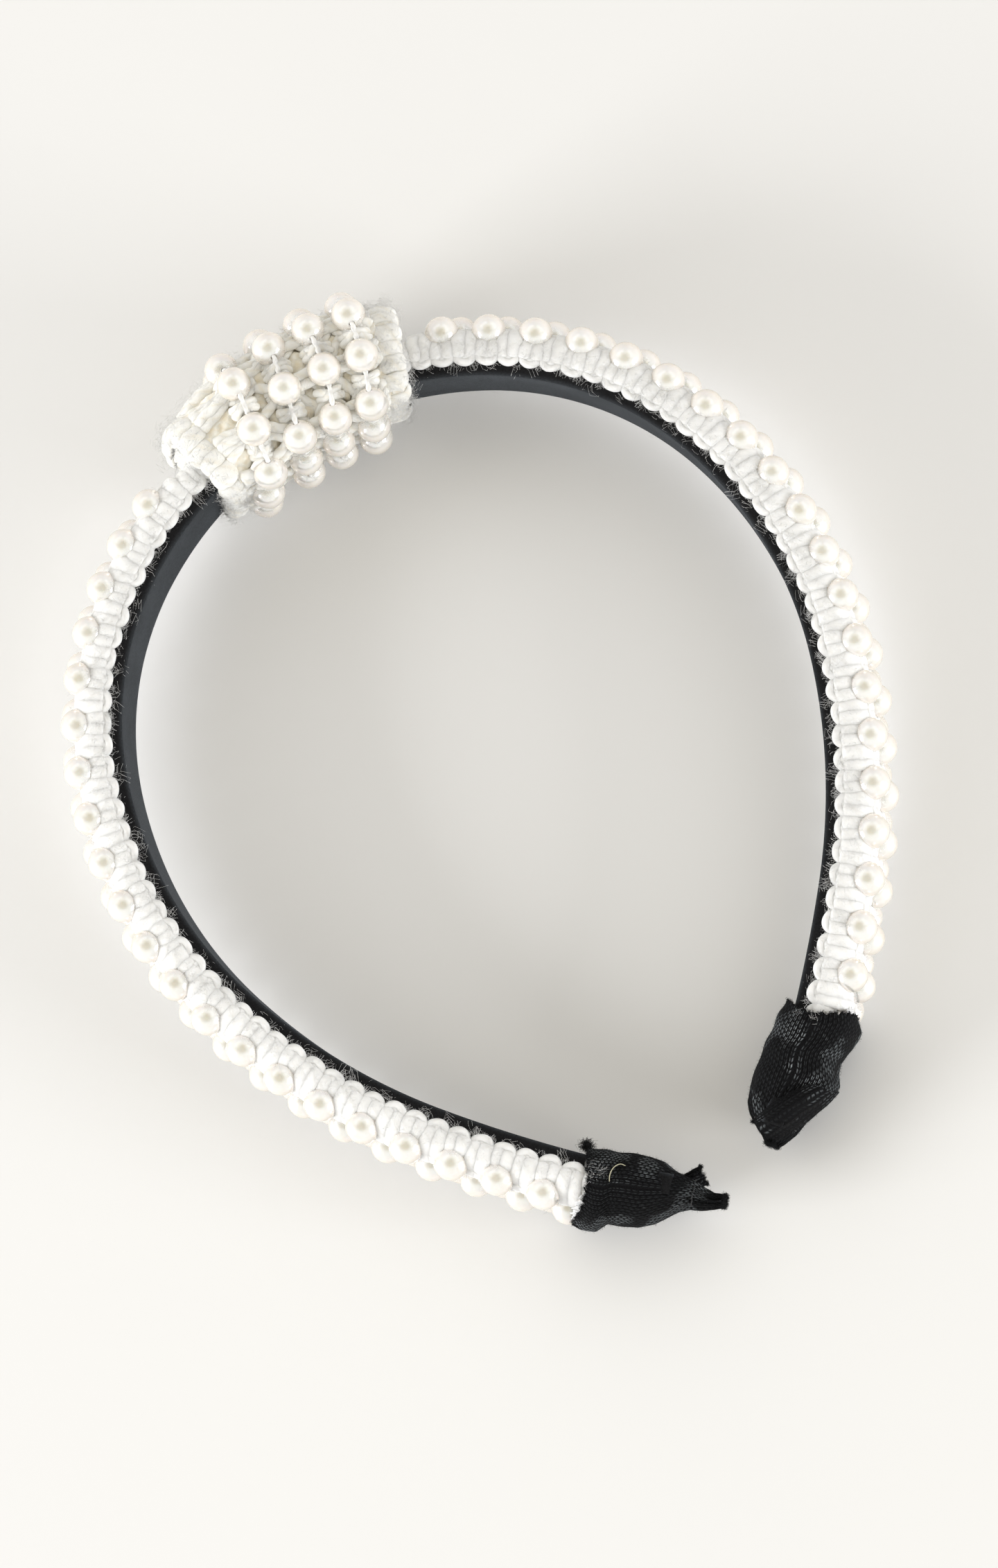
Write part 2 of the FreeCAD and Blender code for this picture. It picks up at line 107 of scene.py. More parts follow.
# name, height, place across, pitch, shift round the hoop, shift away from the crown
ROWS = (("top", 7.8, 5.0, PITCH, 0.0, 0.0), ("middle", 8.8, -0.85, CREST_PITCH, ROW_SHIFT, 0.0),
        ("bottom", 7.4, -5.0, CREST_PITCH, ROW_SHIFT, CREST_PITCH / 2))
PEARL_R = 2.9


def outer_of(s):
    w, left = 0.0, s
    for R, L in ARCS:
        step = min(left, L)
        w += step * (1 + LINE_R / R)
        left -= step
        if left <= 1e-9:
            break
    return w


def s_of(w):
    s = 0.0
    for R, L in ARCS:
        k = 1 + LINE_R / R
        if w <= L * k:
            return s + w / k
        w -= L * k
        s += L
    return s + w


def row_places(side, pitch, turn, away):
    w = outer_of(FIRST[side]) + side * turn + away
    while s_of(w) < 24.0:
        w += pitch
    while w - pitch > 0 and s_of(w - pitch) >= 24.0:
        w -= pitch
    out = []
    while s_of(w) <= 181.6:
        out.append(s_of(w))
        w += pitch
    return out


# outline of the two caps: station, inner edge, outer edge, half width across the band
CAPS = {
    -1: np.array([(173.4, -1.5, 10.9, 7.9), (175.5, -1.6, 11.5, 8.2), (178.2, -1.8, 11.5, 8.2), (180.2, -1.9, 9.9, 8.0), (182.8, -2.2, 9.7, 7.9),
                  (185.5, -2.4, 9.5, 7.6), (188.0, -1.9, 8.2, 7.0), (190.0, -1.0, 6.6, 6.0), (191.6, -0.4, 5.3, 4.7), (193.2, 0.1, 4.4, 3.6),
                  (195.2, 1.3, 4.2, 2.6), (196.8, 2.0, 3.8, 1.9), (197.8, 1.8, 3.6, 1.8), (198.5, 1.7, 3.4, 1.9)]),
    1: np.array([(169.8, -2.0, 10.0, 7.9), (171.6, -2.6, 10.6, 8.2), (174.6, -3.1, 10.1, 8.2), (177.2, -3.5, 8.7, 8.1), (179.0, -3.7, 8.8, 8.0),
                 (180.8, -3.9, 9.5, 7.9), (182.8, -4.1, 9.2, 7.7), (185.0, -4.1, 7.9, 7.1), (187.5, -3.6, 6.2, 6.2), (189.2, -2.6, 5.4, 5.0),
                 (190.4, -1.5, 4.9, 3.9), (191.4, -0.5, 4.4, 3.0), (192.2, 0.5, 3.9, 2.3), (192.8, 1.1, 3.2, 2.0)]),
}


def cap_line(side, s, k):
    C = CAPS[side]
    return np.interp(s, C[:, 0], C[:, k])


def cap_start(side):
    return 176.2 if side < 0 else 169.9


# ---------------------------------------------------------------- mesh tools


class Mesh:
    def __init__(self):
        self.v, self.q, self.quv, self.t, self.tuv, self.n = [], [], [], [], [], 0
        self.qm, self.tm = [], []

    def grids(self, P, U=None, W=None, wrap=False, ends=False, mat=0):
        """P is (K, n, m, 3): K sheets or tubes at once. U and W are uv values, (K, n, m+1) or broadcastable."""
        P = np.asarray(P, float)
        if P.ndim == 3:
            P = P[None]
        K, n, m, _ = P.shape
        mm = m if wrap else m - 1
        if U is None:
            U = np.arange(n)[None, :, None]
        if W is None:
            W = np.linspace(0, 1, mm + 1)[None, None, :]
        U = np.broadcast_to(U, (K, n, mm + 1))
        W = np.broadcast_to(W, (K, n, mm + 1))
        base = self.n
        idx = base + np.arange(K * n * m).reshape(K, n, m)
        j1 = (np.arange(mm) + 1) % m
        a = idx[:, :-1, :mm]
        b = idx[:, 1:, :mm]
        c = idx[:, 1:, :][:, :, j1]
        d = idx[:, :-1, :][:, :, j1]
        self.q.append(np.stack([a, b, c, d], -1).reshape(-1, 4))
        uv = np.stack([
            np.stack([U[:, :-1, :-1], W[:, :-1, :-1]], -1), np.stack([U[:, 1:, :-1], W[:, 1:, :-1]], -1),
            np.stack([U[:, 1:, 1:], W[:, 1:, 1:]], -1), np.stack([U[:, :-1, 1:], W[:, :-1, 1:]], -1)], -2)
        self.quv.append(uv.reshape(-1, 4, 2))
        self.qm.append(np.full(len(self.q[-1]), mat))
        self.v.append(P.reshape(-1, 3))
        self.n += K * n * m
        if ends and wrap:
            for k, flip in ((0, False), (n - 1, True)):
                C = P[:, k].mean(1)
                ci = self.n + np.arange(K)
                self.v.append(C)
                self.n += K
                ring = idx[:, k, :]
                nxt = ring[:, j1]
                cc = np.broadcast_to(ci[:, None], ring.shape)
                tri = np.stack([cc, ring, nxt] if not flip else [cc, nxt, ring], -1).reshape(-1, 3)
                self.t.append(tri)
                uvk = np.stack([U[:, k, :-1], W[:, k, :-1]], -1)
                self.tuv.append(np.stack([uvk, uvk, uvk], -2).reshape(-1, 3, 2))
                self.tm.append(np.full(len(tri), mat))
        return idx

    def build(self, name, mats):
        V = np.concatenate(self.v).astype(np.float32)
        q = np.concatenate(self.q)
        quv = np.concatenate(self.quv)
        loops, uvs, sizes, mi = [q.reshape(-1)], [quv.reshape(-1, 2)], [np.full(len(q), 4)], [np.concatenate(self.qm)]
        if self.t:
            t = np.concatenate(self.t)
            loops.append(t.reshape(-1))
            uvs.append(np.concatenate(self.tuv).reshape(-1, 2))
            sizes.append(np.full(len(t), 3))
            mi.append(np.concatenate(self.tm))
        loops = np.concatenate(loops).astype(np.int32)
        uvs = np.concatenate(uvs).astype(np.float32)
        sizes = np.concatenate(sizes)
        starts = np.concatenate([[0], np.cumsum(sizes)[:-1]]).astype(np.int32)
        me = bpy.data.meshes.new(name)
        me.vertices.add(len(V))
        me.vertices.foreach_set("co", V.reshape(-1))
        me.loops.add(len(loops))
        me.loops.foreach_set("vertex_index", loops)
        me.polygons.add(len(sizes))
        me.polygons.foreach_set("loop_start", starts)
        layer = me.uv_layers.new(name="UVMap")
        layer.data.foreach_set("uv", uvs.reshape(-1))
        me.update(calc_edges=True)
        for m in mats:
            me.materials.append(m)
        me.polygons.foreach_set("material_index", np.concatenate(mi).astype(np.int32))
        me.polygons.foreach_set("use_smooth", np.ones(len(sizes), bool))
        me.validate()
        me.update()
        ob = bpy.data.objects.new(name, me)
        bpy.context.scene.collection.objects.link(ob)
        return ob


def unit(v):
    return v / np.maximum(np.linalg.norm(v, axis=-1, keepdims=True), 1e-12)


def tube(paths, ra, rb=None, ref=(0, 0, 1), m=10, lobes=0.0, ply=2.6, phase=0.0):
    """Cross-section points (K, n, m, 3) round each path (K, n, 3). ra is the half width across, rb along ref."""
    P = np.asarray(paths, float)
    if P.ndim == 2:
        P = P[None]
    K, n, _ = P.shape
    T = unit(np.gradient(P, axis=1))
    ref = np.broadcast_to(np.asarray(ref, float), P.shape)
    B = unit(np.cross(T, ref))
    N = np.cross(B, T)
    ra = np.broadcast_to(np.asarray(ra, float), (K, n))
    rb = ra if rb is None else np.broadcast_to(np.asarray(rb, float), (K, n))
    ang = np.arange(m) / m * TAU
    L = np.concatenate([np.zeros((K, 1)), np.cumsum(np.linalg.norm(np.diff(P, axis=1), axis=-1), axis=1)], 1)
    k = 1.0
    if lobes:
        k = 1 + lobes * np.cos(2 * (ang[None, None, :] - L[:, :, None] / ply * TAU * 0.5) + np.asarray(phase).reshape(-1, 1, 1))
    c = (np.cos(ang) * k)[..., None] if lobes else np.cos(ang)[None, None, :, None]
    s = (np.sin(ang) * k)[..., None] if lobes else np.sin(ang)[None, None, :, None]
    X = P[:, :, None, :] + B[:, :, None, :] * ra[:, :, None, None] * c + N[:, :, None, :] * rb[:, :, None, None] * s
    return X, L


def spline(pts, n):
    """Smooth curve through pts (K, p, 3) at n even parameters (Catmull-Rom)."""
    P = np.asarray(pts, float)
    if P.ndim == 2:
        P = P[None]
    Q = np.concatenate([2 * P[:, :1] - P[:, 1:2], P, 2 * P[:, -1:] - P[:, -2:-1]], 1)
    t = np.linspace(0, P.shape[1] - 1 - 1e-9, n)
    i = t.astype(int)
    f = (t - i)[None, :, None]
    a, b, c, d = Q[:, i], Q[:, i + 1], Q[:, i + 2], Q[:, i + 3]
    return 0.5 * (2 * b + (c - a) * f + (2 * a - 5 * b + 4 * c - d) * f ** 2 + (3 * b - a - 3 * c + d) * f ** 3)


def round_ends(n, k=0.25):
    """Radius factor along a tube, rounding both ends."""
    t = np.linspace(0, 1, n)
    e = np.minimum(t, 1 - t) / k
    return np.sqrt(np.clip(1 - (1 - np.clip(e, 0, 1)) ** 2, 0.004, 1))


def fibres(M, roots, dirs, length, curl, thick, n=6, mat=0, seed=1):
    """Thin loose fibres, metres, from roots (K, 3) along dirs, wandering as they go."""
    g = np.random.default_rng(seed)
    K = len(roots)
    length = np.broadcast_to(length, (K,))
    d = unit(dirs)
    side = unit(np.cross(d, g.normal(size=(K, 3))))
    other = np.cross(d, side)
    t = np.linspace(0, 1, n)
    ph = g.uniform(0, TAU, (K, 1))
    tw = g.uniform(0.6, 2.2, (K, 1)) * curl * 3.0
    amp = g.uniform(0.12, 0.45, (K, 1)) * curl
    sx = amp * (np.cos(ph + tw * t * 2.2) - np.cos(ph))
    sy = amp * (np.sin(ph + tw * t * 2.2) - np.sin(ph))
    P = roots[:, None, :] + length[:, None, None] * (
        t[None, :, None] * d[:, None, :] + sx[..., None] * side[:, None, :] + sy[..., None] * other[:, None, :])
    rad = thick * np.linspace(1.0, 0.55, n)[None, :] * np.ones((K, 1))
    X, L = tube(P, rad, m=3, ref=(0.31, 0.57, 0.76))
    M.grids(X, U=(L / MM)[:, :, None], wrap=True, mat=mat)


# ---------------------------------------------------------------- materials


class Mat:
    def __init__(self, name):
        self.m = bpy.data.materials.new(name)
        self.m.use_nodes = True
        self.t = self.m.node_tree
        self.t.nodes.clear()
        self.out = self.t.nodes.new("ShaderNodeOutputMaterial")
        self.b = self.t.nodes.new("ShaderNodeBsdfPrincipled")
        self.t.links.new(self.b.outputs[0], self.out.inputs[0])

    def node(self, kind, **kw):
        n = self.t.nodes.new("ShaderNode" + kind)
        for k, v in kw.items():
            if hasattr(n, k) and k not in n.inputs:
                setattr(n, k, v)
            else:
                n.inputs[k].default_value = v
        return n

    def link(self, a, b):
        self.t.links.new(a, b)

    def set(self, **kw):
        for k, v in kw.items():
            self.b.inputs[k.replace("_", " ")].default_value = v

    def math(self, op, a, b=None, c=None):
        n = self.t.nodes.new("ShaderNodeMath")
        n.operation = op
        for i, x in enumerate((a, b, c)):
            if x is None:
                continue
            if isinstance(x, (int, float)):
                n.inputs[i].default_value = x
            else:
                self.link(x, n.inputs[i])
        return n.outputs[0]

    def noise(self, vec, scale, detail=3.0, rough=0.55, dist=0.0):
        n = self.node("TexNoise")
        n.inputs["Scale"].default_value = scale
        n.inputs["Detail"].default_value = detail
        n.inputs["Roughness"].default_value = rough
        n.inputs["Distortion"].default_value = dist
        self.link(vec, n.inputs["Vector"])
        return n.outputs[0]

    def mapped(self, vec, scale, rot=(0, 0, 0)):
        n = self.node("Mapping")
        n.inputs["Scale"].default_value = scale
        n.inputs["Rotation"].default_value = rot
        self.link(vec, n.inputs["Vector"])
        return n.outputs[0]

    def ramp(self, fac, stops):
        n = self.node("ValToRGB")
        e = n.color_ramp.elements
        while len(e) > len(stops):
            e.remove(e[-1])
        while len(e) < len(stops):
            e.new(1.0)
        for el, (p, c) in zip(e, stops):
            el.position = p
            el.color = (c[0], c[1], c[2], 1)
        self.link(fac, n.inputs[0])
        return n.outputs[0]

    def bump(self, height, dist, strength=1.0, normal=None):
        n = self.node("Bump")
        n.inputs["Strength"].default_value = strength
        n.inputs["Distance"].default_value = dist
        self.link(height, n.inputs["Height"])
        if normal is not None:
            self.link(normal, n.inputs["Normal"])
        return n.outputs[0]

    def mix(self, fac, a, b):
        n = self.node("Mix", data_type="RGBA")
        for s, x in ((0, fac), (6, a), (7, b)):
            if isinstance(x, (int, float)):
                n.inputs[s].default_value = x
            elif isinstance(x, tuple):
                n.inputs[s].default_value = (*x, 1)
            else:
                self.link(x, n.inputs[s])
        return n.outputs[2]


def obj_coords(M):
    return M.node("TexCoord").outputs["Object"]


def uv_xy(M):
    sep = M.node("SeparateXYZ")
    M.link(M.node("TexCoord").outputs["UV"], sep.inputs[0])
    return sep.outputs[0], sep.outputs[1]


def yarn_material(name, lo, hi, ply, depth):
    """Brushed two-ply yarn. Uv: x is length in mm, y once round the yarn."""
    M = Mat(name)
    u, v = uv_xy(M)
    oc = obj_coords(M)
    slow = M.noise(oc, 260, 2)
    twist = M.math("ADD", M.math("MULTIPLY", v, 2.0), M.math("DIVIDE", u, ply))
    twist = M.math("ADD", twist, M.math("MULTIPLY", slow, 0.5))
    groove = M.math("ABSOLUTE", M.math("SINE", M.math("MULTIPLY", twist, math.pi)))
    comb = M.node("CombineXYZ")
    M.link(M.math("MULTIPLY", twist, 9.0), comb.inputs[0])
    M.link(M.math("MULTIPLY", u, 0.5), comb.inputs[1])
    hair = M.noise(comb.outputs[0], 1.6, 4, 0.65)
    fine = M.noise(oc, 5200, 3, 0.7)
    n1 = M.bump(groove, depth * MM, 0.55)
    n2 = M.bump(hair, 0.10 * MM, 0.7, n1)
    n3 = M.bump(fine, 0.07 * MM, 0.6, n2)
    M.link(n3, M.b.inputs["Normal"])
    # painted shade: the base colour is darker in the grooves between the plies; the hair noise adds random tone
    tone = M.math("ADD", M.math("MULTIPLY", hair, 0.55), M.math("MULTIPLY", groove, 0.45))
    M.link(M.ramp(tone, [(0.15, lo), (0.62, hi)]), M.b.inputs["Base Color"])
    M.set(Roughness=0.92, Sheen_Weight=0.35, Sheen_Roughness=0.6, Subsurface_Weight=0.35, Subsurface_Scale=0.0011,
          Specular_IOR_Level=0.25)
    M.b.inputs["Subsurface Radius"].default_value = (1.0, 0.92, 0.82)
    return M.m


YARN = yarn_material("crochet yarn", (0.87, 0.865, 0.85), (0.95, 0.948, 0.94), 2.9, 0.14)
# painted shade: the warmer, darker low colour of the knot yarn stands for the warm shade in the gaps between the knot's
# pearls
YARN_KNOT_PAINTED_SHADE = yarn_material("knot yarn with painted warm shade", (0.90, 0.85, 0.74), (0.955, 0.945, 0.90), 2.6, 0.16)
BEADING = yarn_material("beading yarn", (0.86, 0.85, 0.82), (0.95, 0.945, 0.93), 1.6, 0.12)


def stitched_material(name, lo, hi, su, sv):
    """Packed stitches of the crochet ground. Uv in mm."""
    M = Mat(name)
    u, v = uv_xy(M)
    oc = obj_coords(M)
    wob = M.math("MULTIPLY", M.noise(oc, 420, 2), 0.8)
    a = M.math("SINE", M.math("MULTIPLY", M.math("ADD", M.math("DIVIDE", u, su), wob), TAU))
    b = M.math("SINE", M.math("MULTIPLY", M.math("ADD", M.math("DIVIDE", v, sv), M.math("MULTIPLY", wob, 1.3)), TAU))
    cell = M.math("MULTIPLY", M.math("ADD", M.math("MULTIPLY", a, b), 1.0), 0.5)
    hair = M.noise(M.mapped(oc, (1800, 3600, 1800)), 1.0, 4, 0.7)
    n1 = M.bump(cell, 0.3 * MM, 0.6)
    n2 = M.bump(hair, 0.13 * MM, 0.75, n1)
    M.link(n2, M.b.inputs["Normal"])
    # painted shade: the base colour is darker in the hollows between the stitches; the hair noise adds random tone
    tone = M.math("ADD", M.math("MULTIPLY", cell, 0.4), M.math("MULTIPLY", hair, 0.6))
    M.link(M.ramp(tone, [(0.2, lo), (0.65, hi)]), M.b.inputs["Base Color"])
    M.set(Roughness=0.95, Sheen_Weight=0.3, Sheen_Roughness=0.6, Subsurface_Weight=0.3, Subsurface_Scale=0.0012,
          Specular_IOR_Level=0.2)
    M.b.inputs["Subsurface Radius"].default_value = (1.0, 0.9, 0.78)
    return M.m


GROUND = stitched_material("crochet ground", (0.82, 0.81, 0.785), (0.93, 0.925, 0.91), 1.9, 1.5)
# painted shade: the warm beige of the knot ground stands for the warm shade between the knot's pearls
KNOT_GROUND_PAINTED_SHADE = stitched_material("knot ground with painted warm shade", (0.88, 0.79, 0.62), (0.95, 0.92, 0.84), 2.2, 1.9)


def fuzz_material(name, col):
    M = Mat(name)
    oc = obj_coords(M)
    t = M.noise(oc, 900, 2)
    M.link(M.ramp(t, [(0.3, tuple(c * 0.86 for c in col)), (0.7, col)]), M.b.inputs["Base Color"])
    M.set(Roughness=0.6, Sheen_Weight=0.2, Specular_IOR_Level=0.4)
    return M.m


FUZZ = fuzz_material("loose yarn fibres", (0.95, 0.948, 0.94))
BLACK_FUZZ = fuzz_material("frayed black fibres", (0.011, 0.0115, 0.013))
BLACK_FUZZ.node_tree.nodes["Principled BSDF"].inputs["Specular IOR Level"].default_value = 0.12
BLACK_FUZZ.node_tree.nodes["Principled BSDF"].inputs["Sheen Weight"].default_value = 0.02

STRAW = fuzz_material("stray yellowed fibre", (0.50, 0.47, 0.33))


def pearl_material():
    M = Mat("ivory pearl")
    oc = obj_coords(M)
    slow = M.noise(oc, 210, 3, 0.5, 0.6)
    cloud = M.noise(oc, 900, 3, 0.5, 1.2)
    tone = M.math("ADD", M.math("MULTIPLY", slow, 0.6), M.math("MULTIPLY", cloud, 0.4))
    M.link(M.ramp(tone, [(0.3, (0.88, 0.85, 0.76)), (0.5, (0.92, 0.90, 0.835)), (0.7, (0.94, 0.93, 0.88))]), M.b.inputs["Base Color"])
    M.link(M.math("ADD", M.math("MULTIPLY", cloud, 0.10), 0.15), M.b.inputs["Roughness"])
    M.link(M.bump(cloud, 0.012 * MM, 0.5), M.b.inputs["Normal"])
    M.set(Metallic=0.38, Coat_Weight=1.0, Coat_Roughness=0.035, Coat_IOR=1.6, Subsurface_Weight=0.25,
          Subsurface_Scale=0.0016, Specular_IOR_Level=0.7, IOR=1.6)
    M.b.inputs["Thin Film Thickness"].default_value = 330.0
    M.b.inputs["Thin Film IOR"].default_value = 1.42
    M.b.inputs["Subsurface Radius"].default_value = (1.0, 0.85, 0.66)
    return M.m


PEARL = pearl_material()


def suede_material():
    """Napped charcoal ribbon. Uv: x is length in mm, y across the ribbon, 0 to 1."""
    M = Mat("charcoal suede ribbon")
    u, v = uv_xy(M)
    oc = obj_coords(M)
    nap = M.noise(M.mapped(oc, (2600, 2600, 6200)), 1.0, 4, 0.72)
    cloud = M.noise(oc, 160, 3, 0.6)
    fleck = M.noise(oc, 3400, 2, 0.8)
    edge = M.math("MULTIPLY", M.math("ABSOLUTE", M.math("SUBTRACT", v, 0.5)), 2.0)
    rim = M.math("SMOOTH_MIN", M.math("MAXIMUM", M.math("MULTIPLY", M.math("SUBTRACT", edge, 0.60), 9.0), 0.0), 1.0, 0.2)
    face = M.ramp(M.math("ADD", M.math("MULTIPLY", nap, 0.78), M.math("MULTIPLY", cloud, 0.22)),
                  [(0.36, (0.013, 0.0145, 0.017)), (0.62, (0.047, 0.053, 0.060))])
    dark = M.ramp(fleck, [(0.35, (0.003, 0.003, 0.0035)), (0.75, (0.012, 0.012, 0.013))])
    M.link(M.mix(rim, face, dark), M.b.inputs["Base Color"])
    M.link(M.bump(fleck, 0.10 * MM, 0.6, M.bump(nap, 0.12 * MM, 0.7)), M.b.inputs["Normal"])
    M.set(Roughness=0.85, Sheen_Weight=0.09, Sheen_Roughness=0.4, Specular_IOR_Level=0.14)
    M.b.inputs["Sheen Tint"].default_value = (0.75, 0.82, 0.92, 1)
    return M.m


SUEDE = suede_material()


def satin_material():
    M = Mat("white satin ribbon")
    u, v = uv_xy(M)
    oc = obj_coords(M)
    threads = M.math("SINE", M.math("MULTIPLY", v, 2400.0))
    slub = M.noise(M.mapped(oc, (700, 700, 9000)), 1.0, 3)
    h = M.math("ADD", M.math("MULTIPLY", threads, 0.3), slub)
    M.link(M.bump(h, 0.03 * MM, 0.4), M.b.inputs["Normal"])
    M.link(M.ramp(slub, [(0.3, (0.82, 0.83, 0.85)), (0.7, (0.92, 0.93, 0.95))]), M.b.inputs["Base Color"])
    M.set(Roughness=0.32, Sheen_Weight=0.2, Anisotropic=0.6, Specular_IOR_Level=0.6)
    return M.m


SATIN = satin_material()


def knit_material(name, wales, course, glint=1.0):
    """Black ribbed knit. Uv: x is length in mm, y once round the tube. Each rib is a column of small slanted stitch legs."""
    M = Mat(name)
    u, v = uv_xy(M)
    oc = obj_coords(M)
    col = M.math("MULTIPLY", v, float(wales))
    c = M.math("ABSOLUTE", M.math("SUBTRACT", M.math("FRACT", col), 0.5))        # 0 at the middle of a rib
    rib = M.math("SUBTRACT", 1.0, M.math("MULTIPLY", c, 2.0))
    jig = M.math("MULTIPLY", M.noise(oc, 700, 2), 0.6)
    leg = M.math("ADD", M.math("ADD", M.math("DIVIDE", u, course), M.math("MULTIPLY", c, 1.5)), jig)
    leg = M.math("ADD", leg, M.math("MULTIPLY", M.math("FLOOR", col), 0.5))
    st = M.math("ABSOLUTE", M.math("SINE", M.math("MULTIPLY", leg, math.pi)))
    h = M.math("ADD", M.math("MULTIPLY", M.math("POWER", rib, 0.7), 0.9), M.math("MULTIPLY", st, 0.35))
    fine = M.noise(oc, 5200, 3, 0.7)
    n2 = M.bump(h, 0.34 * MM, 0.8)
    n3 = M.bump(fine, 0.06 * MM, 0.5, n2)
    M.link(n3, M.b.inputs["Normal"])
    # painted highlights: grey glints painted into the base colour on the stitch legs, in noise patches that stand for
    # where the knit is stretched over what is inside
    patch = M.noise(oc, 150, 2, 0.5, 0.4)
    patch = M.math("MINIMUM", M.math("MAXIMUM", M.math("MULTIPLY", M.math("SUBTRACT", patch, 0.49), 9.0), 0.10), 1.0)
    bell = M.math("MAXIMUM", M.math("SUBTRACT", 1.0, M.math("MULTIPLY", M.math("ABSOLUTE", M.math("SUBTRACT", rib, 0.60)), 4.2)), 0.0)
    duty = M.math("MINIMUM", M.math("MAXIMUM", M.math("MULTIPLY", M.math("SUBTRACT", st, 0.42), 4.0), 0.0), 1.0)
    painted_glint = M.math("MULTIPLY", bell, duty)
    painted_glint = M.math("MULTIPLY", painted_glint, M.math("MULTIPLY", patch, M.math("MULTIPLY", M.noise(oc, 2600, 1), 1.7)))
    basec = M.ramp(fine, [(0.3, (0.0028, 0.0028, 0.0032)), (0.75, (0.0085, 0.0085, 0.0095))])
    painted_glint = M.math("MULTIPLY", painted_glint, glint)
    M.link(M.mix(painted_glint, basec, (0.30, 0.33, 0.35)), M.b.inputs["Base Color"])
    M.link(M.math("SUBTRACT", 0.80, M.math("MULTIPLY", painted_glint, 0.25)), M.b.inputs["Roughness"])
    M.set(Sheen_Weight=0.004, Sheen_Roughness=0.4, Specular_IOR_Level=0.06)
    return M.m


KNIT = knit_material("black rib knit", 60, 1.0)
KNIT_TAIL = knit_material("black rib knit, folded", 14, 0.86, 0.3)


def simple(name, base, var, rough, bump=0.03, **kw):
    M = Mat(name)
    oc = obj_coords(M)
    a = M.noise(oc, 700, 4, 0.6)
    M.link(M.ramp(a, [(0.3, tuple(max(0.0, c - var) for c in base)), (0.7, tuple(min(1.0, c + var) for c in base))]), M.b.inputs["Base Color"])
    M.link(M.bump(M.noise(oc, 2400, 4, 0.6), bump * MM, 0.5), M.b.inputs["Normal"])
    M.set(Roughness=rough, **kw)
    return M.m


PLASTIC = simple("moulded black plastic", (0.03, 0.03, 0.032), 0.006, 0.42)
GLUE = simple("hot glue", (0.80, 0.76, 0.68), 0.04, 0.25, Transmission_Weight=0.3)
THREAD = simple("black sewing thread", (0.02, 0.02, 0.022), 0.008, 0.7)

# ---------------------------------------------------------------- the band


def outline_uv(pts):
    """Length fractions along a closed outline."""
    P = np.asarray(pts, float)
    d = np.linalg.norm(np.roll(P, -1, 0) - P, axis=1)
    return np.concatenate([[0], np.cumsum(d)]) / d.sum(), d.sum()


def resample(pts, m, closed=True):
    P = np.asarray(pts, float)
    if closed:
        P = np.concatenate([P, P[:1]])
    d = np.concatenate([[0], np.cumsum(np.linalg.norm(np.diff(P, axis=0), axis=1))])
    t = np.linspace(0, d[-1], m + 1)[:-1] if closed else np.linspace(0, d[-1], m)
    return np.stack([np.interp(t, d, P[:, k]) for k in range(P.shape[1])], -1)


def lining(side, word):
    """Napped ribbon on the inner face, turned up round both edges of the band."""
    wrap = 3.5
    mid = [(wrap, -6.42), (1.6, -6.52), (0.62, -6.42), (0.24, -6.1), (0.2, -5.2), (0.2, 0), (0.2, 5.2), (0.24, 6.1), (0.62, 6.42),
           (1.6, 6.52), (wrap, 6.42)]
    mid = resample(mid, 45, closed=False)
    T = unit(np.gradient(mid, axis=0))
    N = np.stack([-T[:, 1], T[:, 0]], -1)
    t = 0.21
    ring = np.concatenate([mid + N * t, (mid - N * t)[::-1]])
    half = np.concatenate([np.linspace(0, 1, len(mid)), np.linspace(1, 0, len(mid))])
    m = len(ring)
    s = np.concatenate([np.arange(0, 190.2, 0.7), [190.2]])
    n = len(s)
    g = np.random.default_rng(5 if side > 0 else 6)
    # the cut edges and the nap waver a little
    wav = np.convolve(g.normal(size=n + 20), np.ones(7) / 7, "same")[10:10 + n] * 0.16
    S = np.repeat(s[:, None], m, 1)
    Rr = np.repeat(ring[None, :, 0], n, 0) + (half * (half > 0.9) + (1 - half) * (half < 0.1))[None] * 0.4 * wav[:, None]
    Z = np.repeat(ring[None, :, 1], n, 0) + wav[:, None] * 0.25 + g.normal(size=(n, m)) * 0.012
    W = np.concatenate([half, half[:1]])
    M = Mesh()
    M.grids(at(side, S, Rr, Z), U=s[None, :, None], W=W[None, None, :], wrap=True, ends=True)
    o = M.build(word + "_suede_lining", [SUEDE])
    tuple(at(side, 16.5, 1, 0))
    tuple(at(side, 22.5, 1, 0))
    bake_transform(o)
    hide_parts(word + "_lining")
    return o


def satin(side, word):
    """Thin woven ribbon between the hoop and the padding."""
    z = np.linspace(-5.6, 5.6, 17)
    ring = np.concatenate([np.stack([np.full(17, 2.25), z], -1), np.stack([np.full(17, 2.08), z[::-1]], -1)])
    s = np.arange(0, 187.1, 1.1)
    S = np.repeat(s[:, None], len(ring), 1)
    Rr = ring[None, :, 0] + 0.03 * np.sin(s / 3.1)[:, None]
    P = at(side, S, Rr, np.repeat(ring[None, :, 1], len(s), 0))
    M = Mesh()
    w = np.concatenate([np.linspace(0, 1, 17), np.linspace(1, 0, 17), [0]])
    M.grids(P, U=s[None, :, None], W=w[None, None, :], wrap=True, ends=True)
    o = M.build(word + "_satin_ribbon", [SATIN])
    tuple(at(side, 16.5, 1, 0))
    tuple(at(side, 22.5, 1, 0))
    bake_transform(o)
    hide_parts(word + "_backing_ribbon")
    return o


DOME = [(2.34, 6.45), (3.0, 6.6), (4.2, 6.55), (5.3, 6.2), (6.3, 5.4), (7.0, 4.3), (7.5, 3.0), (7.9, 1.6), (8.0, 0.0)]


